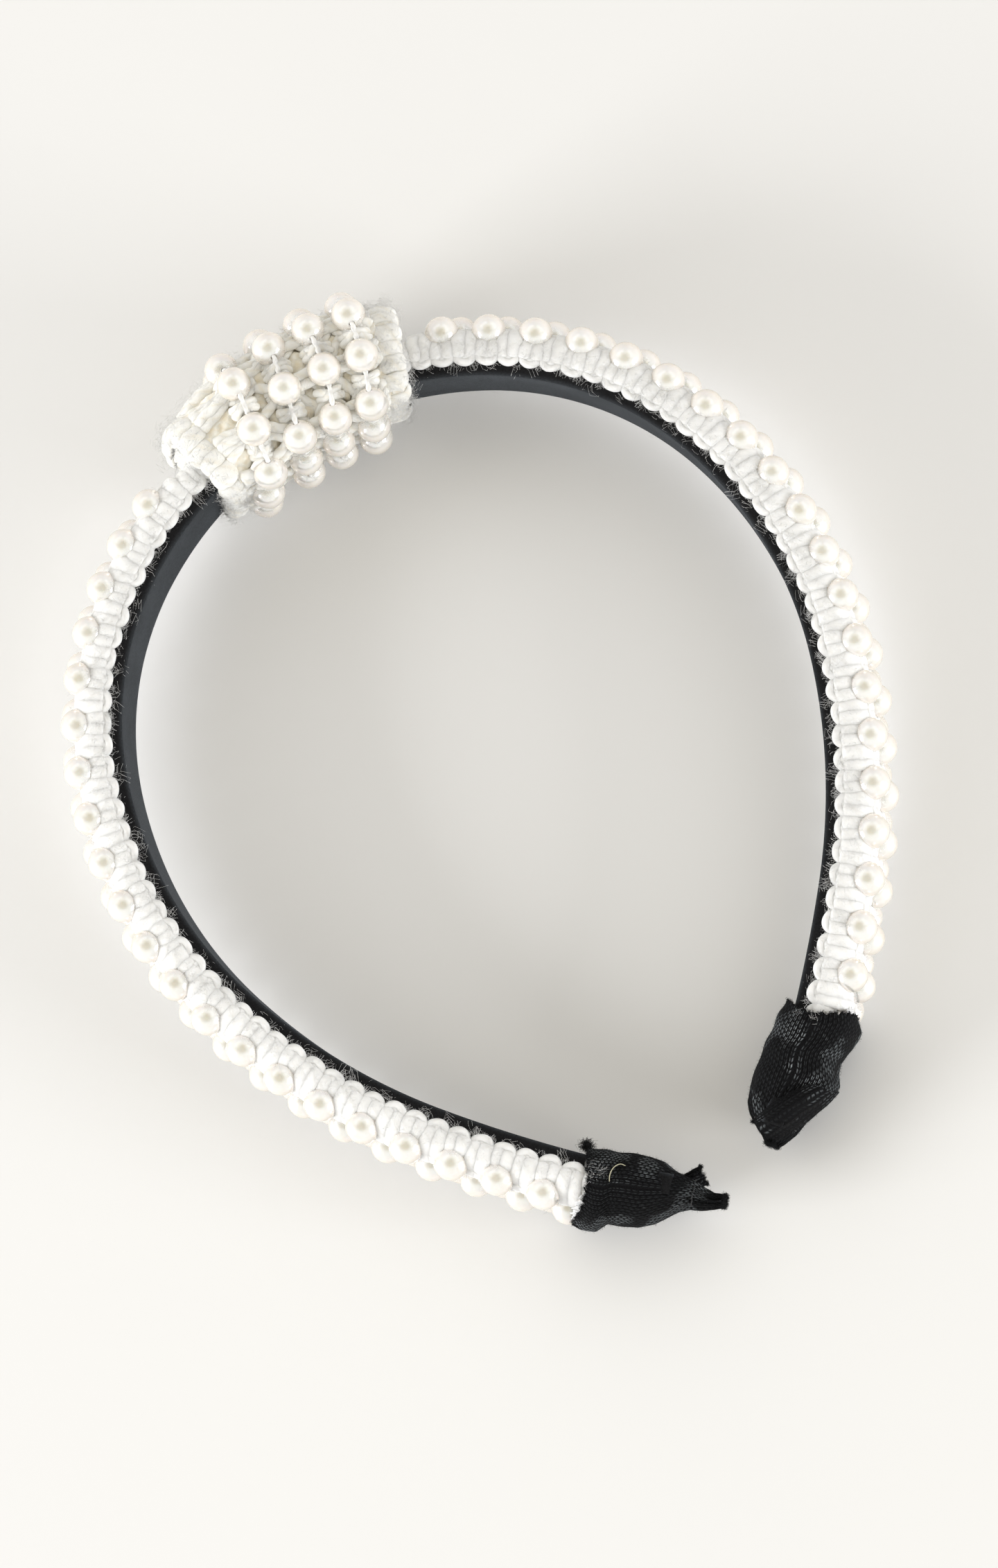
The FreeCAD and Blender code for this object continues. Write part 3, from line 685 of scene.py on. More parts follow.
def ground(side, word):
    """Padded crochet ground: a dome of soft stitches with a dip under each pearl."""
    half = resample(DOME, 34, closed=False)
    sec = np.concatenate([half, (half * [1, -1])[::-1][1:]])
    floor_ = np.stack([np.full(11, 2.34), np.linspace(-6.45, 6.45, 13)[1:-1]], -1)
    ring = np.concatenate([sec, floor_])
    m = len(ring)
    s = np.arange(0, cap_start(side) + 8.3, 0.5)
    n = len(s)
    S = np.repeat(s[:, None], m, 1)
    Rr = np.repeat(ring[None, :, 0], n, 0).copy()
    Z = np.repeat(ring[None, :, 1], n, 0).copy()
    g = np.random.default_rng(15 if side > 0 else 16)
    noise = g.normal(size=(n // 3 + 2, m // 2 + 2))
    big = np.stack([np.interp(np.linspace(0, noise.shape[1] - 1, m), np.arange(noise.shape[1]), row) for row in noise])
    big = np.stack([np.interp(np.linspace(0, big.shape[0] - 1, n), np.arange(big.shape[0]), big[:, k]) for k in range(m)], 1)
    k = (np.arange(m) < len(sec))[None, :]
    cen = np.array([4.0, 0.0])
    dr, dz = Rr - cen[0], Z - cen[1]
    ln = np.hypot(dr, dz)
    push = 0.16 * big * k
    for row, rr, zz, pitch, turn, away in ROWS:
        for sp in row_places(side, pitch, turn, away):
            near = np.abs(s - sp) < 4
            d = np.hypot(np.hypot((S[near] - sp) * (1 + 8 / 70), Rr[near] - rr), Z[near] - zz)
            push[near] -= np.clip(2.75 - d, 0, 0.8) * k * 0.6
    Rr += push * dr / ln
    Z += push * dz / ln
    under = np.clip((s - cap_start(side) - 2.0) / 4.0, 0, 1)[:, None]
    Rr -= under * 0.34 * np.clip(Rr - 2.4, 0, None)
    Z -= under * 0.16 * Z
    peri = np.concatenate([[0], np.cumsum(np.linalg.norm(np.diff(np.concatenate([ring, ring[:1]]), axis=0), axis=1))])
    M = Mesh()
    M.grids(at(side, S, Rr, Z), U=s[None, :, None], W=peri[None, None, :], wrap=True, ends=True)
    o = M.build(word + "_padded_ground", [GROUND])
    tuple(at(side, 16.5, 4, 0))
    tuple(at(side, 22.5, 4, 0))
    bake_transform(o)
    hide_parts(word + "_padding")
    return o


RIB = np.array([(2.95, 6.62), (3.6, 6.92), (4.6, 6.95), (5.5, 6.65), (6.2, 6.0), (6.9, 4.9), (7.3, 3.6)])
RIB_GAP = np.array([(2.95, 6.62), (3.7, 6.92), (5.0, 6.95), (6.2, 6.6), (7.2, 5.7), (7.9, 4.3), (8.3, 2.8), (8.4, 1.2)])


def ribs(side, word):
    """Crochet ribs up both flanks, two to each scallop, with longer ones between the pearls."""
    w0 = outer_of(FIRST[side])
    M = Mesh()
    F = Mesh()
    g = np.random.default_rng(25 if side > 0 else 26)
    for face in (1, -1):
        wf = w0 if face > 0 else w0 + side * 2 * ROW_SHIFT
        ks = np.arange(-60, 140)
        sk = np.array([s_of(max(wf + (k + 0.5) * PITCH / 4, 0.0)) for k in ks])
        ok = (sk > 13.0) & (sk < cap_start(side) + 2.6)
        ks, sk = ks[ok], sk[ok]
        for kind, curve in ((0, RIB), (1, RIB_GAP)):
            gap = np.isin(ks % 4, (1, 2))
            sel = gap if kind else ~gap
            base = sk[sel]
            K = len(base)
            n = 20
            c = spline(np.concatenate([np.zeros((len(curve), 1)), curve], 1), n)[0]
            P = np.repeat(c[None], K, 0)
            P[:, :, 0] = base[:, None] + g.normal(size=(K, 1)) * 0.07 + np.linspace(-1, 1, n)[None] * g.normal(size=(K, 1)) * 0.12
            if kind:
                # the two gap ribs lean together as they pass between the pearls
                toward = np.where(ks[sel] % 4 == 1, 1.0, -1.0)
                P[:, :, 0] += toward[:, None] * np.linspace(0, 1, n)[None] ** 2 * 0.55
            P[:, :, 1] += g.normal(size=(K, 1)) * 0.06
            P[:, :, 2] += g.normal(size=(K, 1)) * 0.07
            P[:, :, 2] *= face
            rad = round_ends(n, 0.13) * (1 + 0.05 * g.normal(size=(K, 1)))
            ref = np.zeros((K, n, 3))
            nr = unit(np.gradient(c[:, 1:], axis=0))
            ref[:, :, 1] = -nr[:, 1] * 0 + np.interp(np.arange(n), [0, n - 1], [0.05, 1.0])
            ref[:, :, 2] = face * np.interp(np.arange(n), [0, n - 1], [1.0, 0.35])
            X, L = tube(P, 1.30 * rad, 0.50 * rad, ref=ref, m=14, lobes=0.03, ply=2.9, phase=g.uniform(0, TAU, K))
            M.grids(at3(side, X), U=(L + g.uniform(0, 9, (K, 1)))[:, :, None], wrap=True, ends=True)
        # loose fibres standing off the ribs
        nf = 2400
        pick = g.integers(0, len(sk), nf)
        tt = g.uniform(0.0, 0.8, nf)
        rr = np.interp(tt, np.linspace(0, 1, len(RIB)), RIB[:, 0])
        zz = np.interp(tt, np.linspace(0, 1, len(RIB)), RIB[:, 1]) + 0.55
        ss = sk[pick] + g.uniform(-0.9, 0.9, nf)
        root = at(side, ss, rr, face * zz)
        tip = at(side, ss + g.normal(size=nf) * 1.0, rr + g.normal(size=nf) * 0.8, face * (zz + g.uniform(0.05, 0.8, nf)))
        fibres(F, root, tip - root, g.uniform(0.7, 2.0, nf) * MM, 1.0, 0.022 * MM, n=6, seed=int(g.integers(1e6)))
    # scallops of picot loops along both edges
    for face, word2 in ((1, "top"), (-1, "bottom")):
        wf = w0 if face > 0 else w0 + side * 2 * ROW_SHIFT
        sc = np.array([s_of(max(wf + k * PITCH / 2, 0.0)) for k in range(-12, 60)])
        sc = sc[(sc > 13.0) & (sc < cap_start(side) + 2.6)]
        K, n = len(sc), 22
        t = np.linspace(-0.12, math.pi + 0.12, n)
        amp = 1 + 0.07 * g.normal(size=(K, 1))
        P = np.zeros((K, n, 3))
        wid = 1.45 * np.ones((K, 1))
        P[:, :, 0] = sc[:, None] - wid * np.cos(t)[None] + 0.06 * g.normal(size=(K, 1))
        P[:, :, 1] = 3.55 - 1.27 * amp * np.clip(np.sin(t), 0, 1)[None]
        P[:, :, 2] = face * (6.62 + 0.16 * np.sin(t)[None] + 0.05 * g.normal(size=(K, 1)))
        X, L = tube(P, 0.68 * round_ends(n, 0.1), 0.50 * round_ends(n, 0.1), ref=(0, 0, 1), m=10, lobes=0.06, ply=2.4,
                    phase=g.uniform(0, TAU, K))
        Q = Mesh()
        Q.grids(at3(side, X), U=(L + g.uniform(0, 9, (K, 1)))[:, :, None], wrap=True, ends=True)
        # a filling stitch in the middle of each loop
        f = np.zeros((K, 8, 3))
        f[:, :, 0] = sc[:, None]
        f[:, :, 1] = np.linspace(2.5, 4.0, 8)[None]
        f[:, :, 2] = face * 6.62
        X, L = tube(f, 1.05 * round_ends(8, 0.3), 0.58 * round_ends(8, 0.3), ref=(0, 0, 1), m=8)
        Q.grids(at3(side, X), U=(L + g.uniform(0, 9, (K, 1)))[:, :, None], wrap=True, ends=True)
        # curly fibres wandering over the black rim
        per = 16
        pick = np.repeat(np.arange(K), per)
        a = np.where(g.random(K * per) < 0.5, g.uniform(0.0, 0.8, K * per), math.pi - g.uniform(0.0, 0.8, K * per))
        ss = sc[pick] - 1.45 * np.cos(a)
        rr = 3.55 - 1.27 * np.sin(a) - 0.6
        zz = 6.62 + g.uniform(-0.3, 0.45, K * per)
        root = at(side, ss, rr, face * zz)
        tip = at(side, ss + g.normal(size=K * per) * 1.1, rr - g.uniform(0.0, 0.9, K * per), face * (zz + g.uniform(-0.5, 0.35, K * per)))
        ln = g.uniform(0.5, 1.9, K * per) * MM
        fibres(Q, root, tip - root, ln, 1.9, 0.018 * MM, n=11, mat=1, seed=int(g.integers(1e6)))
        o = Q.build("%s_picot_scallops_%s" % (word, word2), [YARN, FUZZ])
        tuple(at(side, 16.5, 4, 0))
        tuple(at(side, 22.5, 4, 0))
        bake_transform(o)
        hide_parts("%s_picot_edge_%s" % (word, word2))
    # rolled cups that each pearl sits in, and crossing stitches over the crest
    cen, nor = [], []
    for row, rr, zz, pitch, turn, away in ROWS:
        for sp in row_places(side, pitch, turn, away):
            if sp > cap_start(side) + 1.5:
                continue
            c = np.array([sp, rr, zz])
            nd = np.array([0, rr - 3.2, zz]) if abs(zz) > 2 else np.array([0, 1.0, 0])
            cen.append(c)
            nor.append(unit(nd))
    cen, nor = np.array(cen), np.array(nor)
    K, n = len(cen), 30
    a = np.linspace(0, TAU, n)
    e1 = np.tile([1.0, 0, 0], (K, 1))
    e2 = np.cross(nor, e1)
    R0 = 2.72 + 0.08 * g.normal(size=(K, 1))
    wob = 0.12 * np.sin(3 * a[None] + g.uniform(0, TAU, (K, 1)))
    C = cen - nor * 1.15
    P = C[:, None, :] + (R0 + wob)[..., None] * (np.cos(a)[None, :, None] * e1[:, None, :] * 0.92 + np.sin(a)[None, :, None] * e2[:, None, :])
    X, L = tube(P, 0.62, 0.5, ref=np.repeat(nor[:, None, :], n, 1), m=8, lobes=0.06, ply=2.4, phase=g.uniform(0, TAU, K))
    M.grids(at3(side, X), U=(L + g.uniform(0, 9, (K, 1)))[:, :, None], wrap=True)
    # stitches crossing between neighbouring pearls of the crest row
    places = [p_ for p_ in row_places(side, *ROWS[1][3:]) if p_ < cap_start(side) + 3]
    mids = np.array([(a_ + b_) / 2 for a_, b_ in zip(places[:-1], places[1:])] + [places[0] - 3.6])
    K, n = len(mids), 22
    P = np.zeros((K * 2, n, 3))
    zc = np.linspace(-3.6, 3.6, n)
    for q, off in enumerate((-0.5, 0.5)):
        P[q * K:(q + 1) * K, :, 0] = mids[:, None] + off * (1 + 0.3 * np.sin(zc)[None]) + 0.1 * g.normal(size=(K, 1))
        P[q * K:(q + 1) * K, :, 1] = 8.5 - 0.05 * zc[None] ** 2 + 0.08 * g.normal(size=(K, 1))
        P[q * K:(q + 1) * K, :, 2] = zc[None]
    X, L = tube(P, 0.62 * round_ends(n, 0.1), 0.55 * round_ends(n, 0.1), ref=(0, 1, 0), m=8, lobes=0.06, ply=2.4, phase=g.uniform(0, TAU, 2 * K))
    M.grids(at3(side, X), U=(L + g.uniform(0, 9, (2 * K, 1)))[:, :, None], wrap=True, ends=True)
    # fuzz around the cups
    nf = 2400
    pick = g.integers(0, len(cen), nf)
    a = g.uniform(0, TAU, nf)
    rim = C[pick] + 3.1 * (np.cos(a)[:, None] * e1[pick] + np.sin(a)[:, None] * e2[pick]) + nor[pick] * 0.4
    out = nor[pick] * g.uniform(0.1, 0.9, (nf, 1)) + g.normal(size=(nf, 3)) * 0.6
    root, tip = at3(side, rim), at3(side, rim + out)
    fibres(F, root, tip - root, g.uniform(0.6, 1.8, nf) * MM, 1.2, 0.021 * MM, n=6, seed=int(g.integers(1e6)))
    o = M.build(word + "_crochet_ribs", [YARN])
    tuple(at(side, 16.5, 4, 0))
    tuple(at(side, 22.5, 4, 0))
    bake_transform(o)
    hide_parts(word + "_crochet_cover")
    f = F.build(word + "_loose_fibres", [FUZZ])
    tuple(at(side, 16.5, 4, 0))
    tuple(at(side, 22.5, 4, 0))
    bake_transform(f)


# ---------------------------------------------------------------- pearls


def pearl_points(cen, axis, seed, segs=36):
    """Drilled pearls: (K, n, m, 3) for centres (K, 3) in metres and hole axes."""
    g = np.random.default_rng(seed)
    R, h = PEARL_R, 0.42
    th0 = math.asin(0.62 / R)
    th = np.concatenate([[th0 * 0.93], np.linspace(th0, math.pi - th0, 25), [math.pi - th0 * 0.93]])
    rad = np.concatenate([[R * 0.997], np.full(25, R), [R * 0.997]])
    ax = rad * np.cos(th)
    rho = rad * np.sin(th)
    ax = np.concatenate([[R - 1.7, R - 0.35], ax, [-(R - 0.35), -(R - 1.7)]])
    rho = np.concatenate([[h, h], rho, [h, h]])
    K = len(cen)
    axis = unit(np.asarray(axis, float))
    a = unit(np.cross(axis, [0.3, 0.2, 0.93]))
    b = np.cross(axis, a)
    ang = np.arange(segs) / segs * TAU
    scale = 1 + 0.006 * g.normal(size=(K, 1, 1, 1))
    out = cen[:, None, None, :] + MM * scale * (
        ax[None, :, None, None] * axis[:, None, None, :]
        + rho[None, :, None, None] * (np.cos(ang)[None, None, :, None] * a[:, None, None, :] + np.sin(ang)[None, None, :, None] * b[:, None, None, :]))
    return out


def leg_pearls(side, word):
    for k_, (row, rr, zz, pitch, turn, away) in enumerate(ROWS):
        sp = np.array(row_places(side, pitch, turn, away))
        # the cap presses the last pearls down and in
        lo_, hi_, hf_ = (cap_line(side, sp, k) for k in (1, 2, 3))
        mid_, a_, h_ = (lo_ + hi_) / 2, (hi_ - lo_) / 2 - 3.5, hf_ - 3.55
        f_ = ((np.abs(rr - mid_) / a_) ** 2.4 + (np.abs(zz) / h_) ** 2.4) ** (1 / 2.4)
        f_ = np.where(sp > cap_start(side) + 0.4, np.maximum(f_, 1.0), 1.0)
        rr_ = mid_ + (rr - mid_) / f_
        zz_ = zz / f_
        cen = at(side, sp, rr_, zz_)
        axis = at(side, sp + 0.5, rr, zz) - at(side, sp - 0.5, rr, zz)
        M = Mesh()
        M.grids(pearl_points(cen, axis, 60 + k_ + (side > 0) * 7), wrap=True)
        o = M.build("%s_drilled_pearls_%s" % (word, row), [PEARL])
        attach(o, word + "_leg")
        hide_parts("%s_pearls_%s" % (word, row))
        # twisted yarn through the row
        s = np.arange(21.9, sp[-1] + 3.4, 0.28)
        P = np.stack([s, np.interp(s, sp, rr_), np.interp(s, sp, zz_)], -1)[None]
        X, L = tube(P, 0.40, ref=(0, 1, 0), m=12, lobes=0.18, ply=1.5)
        Y = Mesh()
        Y.grids(at3(side, X), U=L[:, :, None], wrap=True, ends=True)
        y = Y.build("%s_twisted_yarn_%s" % (word, row), [BEADING])
        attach(y, word + "_leg")
        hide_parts("%s_beading_yarn_%s" % (word, row))


# ---------------------------------------------------------------- knot

HOLLOW = np.array([(-0.45, -6.6), (-0.45, 6.6), (1.2, 7.7), (4.0, 8.0), (9.5, 8.0), (11.1, 6.6), (12.65, 2.4),
                   (12.65, -2.4), (11.1, -6.6), (9.5, -8.0), (4.0, -8.0), (1.2, -7.7)])


def ring_line(off, m):
    """Outline of the knot's hollow grown by off, evenly sampled, with its normals."""
    P = HOLLOW
    out = []
    k = len(P)
    for i in range(k):
        a, b, c = P[i - 1], P[i], P[(i + 1) % k]
        n1 = np.array([-(b - a)[1], (b - a)[0]])
        n2 = np.array([-(c - b)[1], (c - b)[0]])
        n1, n2 = unit(n1), unit(n2)
        t1, t2 = math.atan2(n1[1], n1[0]), math.atan2(n2[1], n2[0])
        while t2 > t1 + 1e-9:
            t2 -= TAU
        if t1 - t2 > math.pi:
            t2 += TAU
        for t in np.linspace(t1, t2, 9):
            out.append(b + off * np.array([math.cos(t), math.sin(t)]))
    out = np.array(out)
    q = resample(out, m)
    T = unit(np.roll(q, -1, 0) - np.roll(q, 1, 0))
    N = np.stack([-T[:, 1], T[:, 0]], -1)
    return q, N


def islands(name):
    """Centres of the separate solids of a CAD node, in order of first vertex."""
    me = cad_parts[name].data
    co = np.zeros(len(me.vertices) * 3)
    me.vertices.foreach_get("co", co)
    co = co.reshape(-1, 3)
    key = np.round(co * 1e6).astype(np.int64)
    _, inv = np.unique(key, axis=0, return_inverse=True)
    inv = inv.reshape(-1)
    parent = np.arange(inv.max() + 1)
    ed = np.zeros(len(me.edges) * 2, np.int64)
    me.edges.foreach_get("vertices", ed)
    ed = inv[ed.reshape(-1, 2)]
    for _ in range(60):
        a, b = parent[ed[:, 0]], parent[ed[:, 1]]
        lo = np.minimum(a, b)
        before = parent.copy()
        np.minimum.at(parent, a, lo)
        np.minimum.at(parent, b, lo)
        np.minimum.at(parent, ed[:, 0], lo)
        np.minimum.at(parent, ed[:, 1], lo)
        parent = parent[parent]
        if (parent == before).all():
            break
    lab = parent[inv]
    out = []
    for l in np.unique(lab):
        p = co[lab == l]
        out.append((p.min(0) + p.max(0)) / 2)
    return np.array(out)


def lean(z):
    return 0.16 * np.clip(np.asarray(z, float) + 5.0, 0, None)


def knot_at(P):
    """World points of knot coordinates; the upper side of the knot sits a little to the right."""
    P = np.asarray(P, float)
    return at(1, P[..., 0] + lean(P[..., 2]), P[..., 1], P[..., 2])


def knot():
    strands = []
    for k in range(1, 5):
        q = to_crown(islands("knot_pearls_strand_%d" % k))
        # in order round the knot, starting behind it
        ang = np.arctan2(q[:, 2], q[:, 1] - 6.0)
        q = q[np.argsort(np.mod(ang + math.radians(100.0), TAU))]
        c = knot_at(q)
        d = np.empty_like(c)
        d[1:-1] = c[2:] - c[:-2]
        d[0], d[-1] = c[1] - c[0], c[-1] - c[-2]
        M = Mesh()
        M.grids(pearl_points(c, d, 80 + k, 40), wrap=True)
        o = M.build("knot_drilled_pearls_%d" % k, [PEARL])
        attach(o, "crown")
        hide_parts("knot_pearls_strand_%d" % k)
        # twisted yarn: straight through each pearl, bending in the gaps
        du = unit(d)
        pts = []
        for cc, dd in zip(c, du):
            pts += [cc - dd * 3.1 * MM, cc - dd * 1.5 * MM, cc, cc + dd * 1.5 * MM, cc + dd * 3.1 * MM]
        P = spline(np.array(pts), 14 * len(c) * 3)
        X, L = tube(P, 0.40 * MM, ref=(0.2, 0.3, 0.9), m=10, lobes=0.16, ply=1.5 * MM)
        Y = Mesh()
        Y.grids(X, U=(L / MM)[:, :, None], wrap=True, ends=True)
        y = Y.build("knot_twisted_yarn_%d" % k, [BEADING])
        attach(y, "crown")
        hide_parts("knot_beading_yarn_%d" % k)
        strands.append(c)
    C = np.concatenate(strands)
    q = to_crown(C)
    q[:, 0] -= lean(q[:, 2])
    # ground of the wrap
    m = 300
    line0, N0 = ring_line(0.9, m)
    u = np.linspace(-15.2, 15.2, 120)
    lvl = line0 + N0 * 2.6
    U_, V_ = np.meshgrid(u, np.arange(m), indexing="ij")
    lev = knot_at(np.stack([U_, lvl[V_, 0], lvl[V_, 1]], -1))
    d = np.full(U_.shape, 9.0)
    for c in C:
        d = np.minimum(d, np.linalg.norm(lev - c, axis=-1) / MM)
    g = np.random.default_rng(91)
    rough = g.normal(size=(40, 80))
    rough = np.stack([np.interp(np.linspace(0, 79, m), np.arange(80), row) for row in rough])
    rough = np.stack([np.interp(np.linspace(0, 39, 120), np.arange(40), rough[:, k]) for k in range(m)], 1)
    rough[:, -1] = rough[:, 0]
    t = np.clip((d - 2.3) / 1.6, 0, 1)
    h = 0.2 + 0.8 * t * t * (3 - 2 * t) + 0.16 * rough
    inner, _ = ring_line(0.05, m)
    P = knot_at(np.stack([U_, line0[V_, 0] + N0[V_, 0] * h, line0[V_, 1] + N0[V_, 1] * h], -1))
    I = knot_at(np.stack([U_, inner[V_, 0], inner[V_, 1]], -1))
    M = Mesh()
    ring = np.concatenate([I[:1], P, I[::-1]], 0)
    peri = np.linspace(0, 52, m + 1)
    M.grids(ring.transpose(1, 0, 2)[None].transpose(0, 2, 1, 3), U=np.arange(len(ring))[None, :, None] * 0.23, W=peri[None, None, :], wrap=True)
    o = M.build("knot_wrap_ground", [KNOT_GROUND_PAINTED_SHADE])
    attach(o, "crown")
    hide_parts("knot_wrap", "knot_glue_pad")
    # webs of yarn between neighbouring pearls, and cups round them
    M, F = Mesh(), Mesh()
    K = len(C)
    nearest = np.linalg.norm(C[:, None] - C[None], axis=-1) / MM
    line3, N3 = ring_line(3.84, 720)
    nn = np.array([np.argmin(np.linalg.norm(line3 - p[1:], axis=1)) for p in q])
    nor = np.concatenate([np.zeros((K, 1)), N3[nn]], 1)              # outward, in band coordinates
    paths, rads = [], []
    for i in range(K):
        for j in range(i + 1, K):
            if nearest[i, j] > 10.6:
                continue
            a, b = q[i], q[j]
            na, nb = nor[i], nor[j]
            far = nearest[i, j] > 8.2
            for rep in range(2 if not far else 1):
                off = g.normal(size=3) * 0.25
                lat = unit(np.cross(b - a, na + nb)) * (0.75 if rep else -0.75) * (0 if far else 1)
                lo = 1.2 if far else 0.85
                pa, pb = a - na * lo, b - nb * lo
                mid = (a + b) / 2 - (na + nb) / 2 * (lo + (0.55 if far else 0.0))
                bulge = np.linalg.norm((na + nb) / 2)
                mid = mid + (na + nb) / 2 / max(bulge, 0.3) * (1 - bulge) * 3.0
                pts = np.array([pa, pa * 0.62 + mid * 0.38 + lat, mid + lat * 0.9 + off * 0.4, pb * 0.62 + mid * 0.38 + lat, pb])
                paths.append(spline(pts, 18)[0])
                rads.append(0.80 + 0.16 * g.random())
    first = 0
    for cs_ in strands:
        for i in range(first, first + len(cs_) - 1):
            a_, b_ = q[i], q[i + 1]
            md, nm = (a_ + b_) / 2, unit(nor[i] + nor[i + 1])
            dl = unit(b_ - a_)
            lt = unit(np.cross(dl, nm))
            for sgn in (1, -1):
                w_ = 1.7 + 0.3 * g.random()
                pts = np.array([md - lt * w_ * 1.25 - dl * 0.75 * sgn - nm * 1.3, md - lt * w_ * 0.6 - dl * 0.42 * sgn - nm * 0.25,
                                md + nm * (0.62 + 0.12 * sgn), md + lt * w_ * 0.6 + dl * 0.42 * sgn - nm * 0.25,
                                md + lt * w_ * 1.25 + dl * 0.75 * sgn - nm * 1.3])
                paths.append(spline(pts, 18)[0])
                rads.append(0.68 + 0.12 * g.random())
        first += len(cs_)
    # soft yarn reaching from the outer columns to the edges of the wrap
    line2, N2 = ring_line(1.7, 720)
    for i in range(K):
        for sg in (1, -1):
            if sg * q[i, 0] < 5.0 or sg * q[i, 0] > 14.0 or nearest[i].size < 2:
                continue
            if any(sg * (q[j, 0] - q[i, 0]) > 3.0 and nearest[i, j] < 10.0 for j in range(K) if j != i):
                continue
            for dv in (-22, -7, 8, 23):
                jn = (nn[i] + dv + int(g.integers(-3, 4))) % 720
                e_ = np.array([sg * 14.8, line2[jn, 0], line2[jn, 1]])
                a_ = q[i] - nor[i] * 1.0
                m_ = (a_ + e_) / 2 + nor[i] * 0.1 + g.normal(size=3) * 0.25
                paths.append(spline(np.array([a_, (a_ + m_) / 2, m_, (e_ + m_) / 2, e_]), 18)[0])
                rads.append(0.85 + 0.2 * g.random())
    paths = np.array(paths)
    rads = np.array(rads)[:, None] * round_ends(18, 0.1)[None]
    X, L = tube(paths, rads, ref=(0.1, 0.2, 0.9), m=10, lobes=0.08, ply=2.4, phase=g.uniform(0, TAU, len(paths)))
    M.grids(knot_at(X), U=(L + g.uniform(0, 9, (len(paths), 1)))[:, :, None], wrap=True, ends=True)
    n = 34
    a = np.linspace(0, TAU, n)
    e1 = unit(np.cross(nor, np.tile([0.2, 0.9, 0.1], (K, 1))))
    e2 = np.cross(nor, e1)
    Cc = q - nor * 1.75
    R0 = 2.55 + 0.1 * g.normal(size=(K, 1))
    P = Cc[:, None, :] + (R0 + 0.15 * np.sin(2 * a[None] + g.uniform(0, TAU, (K, 1))))[..., None] * (
        np.cos(a)[None, :, None] * e1[:, None, :] + np.sin(a)[None, :, None] * e2[:, None, :])
    X, L = tube(P, 0.62, 0.55, ref=np.repeat(nor[:, None, :], n, 1), m=8, lobes=0.07, ply=2.4, phase=g.uniform(0, TAU, K))
    M.grids(knot_at(X), U=(L + g.uniform(0, 9, (K, 1)))[:, :, None], wrap=True)
    o = M.build("knot_yarn_webs", [YARN_KNOT_PAINTED_SHADE])
    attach(o, "crown")
    nf = 3400
    pick = g.integers(0, len(paths), nf)
    at_n = g.integers(3, 15, nf)
    rp = paths[pick, at_n]
    dirn = unit(g.normal(size=(nf, 3)))
    nrm = nor[np.argmin(((rp[:, None] - q[None]) ** 2).sum(-1), 1)]
    dirn = unit(dirn * 0.8 + nrm)
    root, tip = knot_at(rp + dirn * 0.75), knot_at(rp + dirn * 1.75)
    fibres(F, root, tip - root, g.uniform(0.6, 2.2, nf) * MM, 1.3, 0.021 * MM, n=6, seed=7)
    # ribbed edges of the wrap at both mouths
    for sg, nm in ((1, "right"), (-1, "left")):
        Mm = Mesh()
        line, N = ring_line(0.0, 240)
        us = np.linspace(13.3, 18.3, 22)
        prof = np.array([(14.0, 0.6), (14.8, 1.4), (15.6, 1.7), (16.6, 1.8), (17.6, 1.5), (18.2, 0.8), (18.35, 0.1)])
        pr = resample(prof, 30, closed=False)
        Pn = np.stack([np.broadcast_to(pr[:, 0][:, None], (30, 240)), line[None, :, 0] + N[None, :, 0] * pr[:, 1][:, None],
                       line[None, :, 1] + N[None, :, 1] * pr[:, 1][:, None]], -1)
        Pn[..., 0] *= sg
        Mm.grids(knot_at(Pn)[None], U=(np.arange(30) * 0.25)[None, :, None], W=np.linspace(0, 52, 241)[None, None, :], wrap=True, mat=1)
        cnt = 21
        lineS, NS = ring_line(0.0, cnt)
        seg = np.array([(14.2, 1.3), (14.8, 1.85), (15.6, 2.1), (16.5, 2.1), (17.4, 1.8), (18.0, 1.2), (18.0, 0.3), (17.5, -0.2), (16.9, -0.4)])
        base = np.zeros((cnt, len(seg), 3))
        jit = 0.14 * g.normal(size=(cnt, 1))
        base[:, :, 0] = sg * (seg[None, :, 0] + 0.25 * g.normal(size=(cnt, 1)) * np.linspace(0.2, 1, len(seg))[None])
        base[:, :, 1] = lineS[:, None, 0] + NS[:, None, 0] * (seg[None, :, 1] + jit - 0.35)
        base[:, :, 2] = lineS[:, None, 1] + NS[:, None, 1] * (seg[None, :, 1] + jit - 0.35)
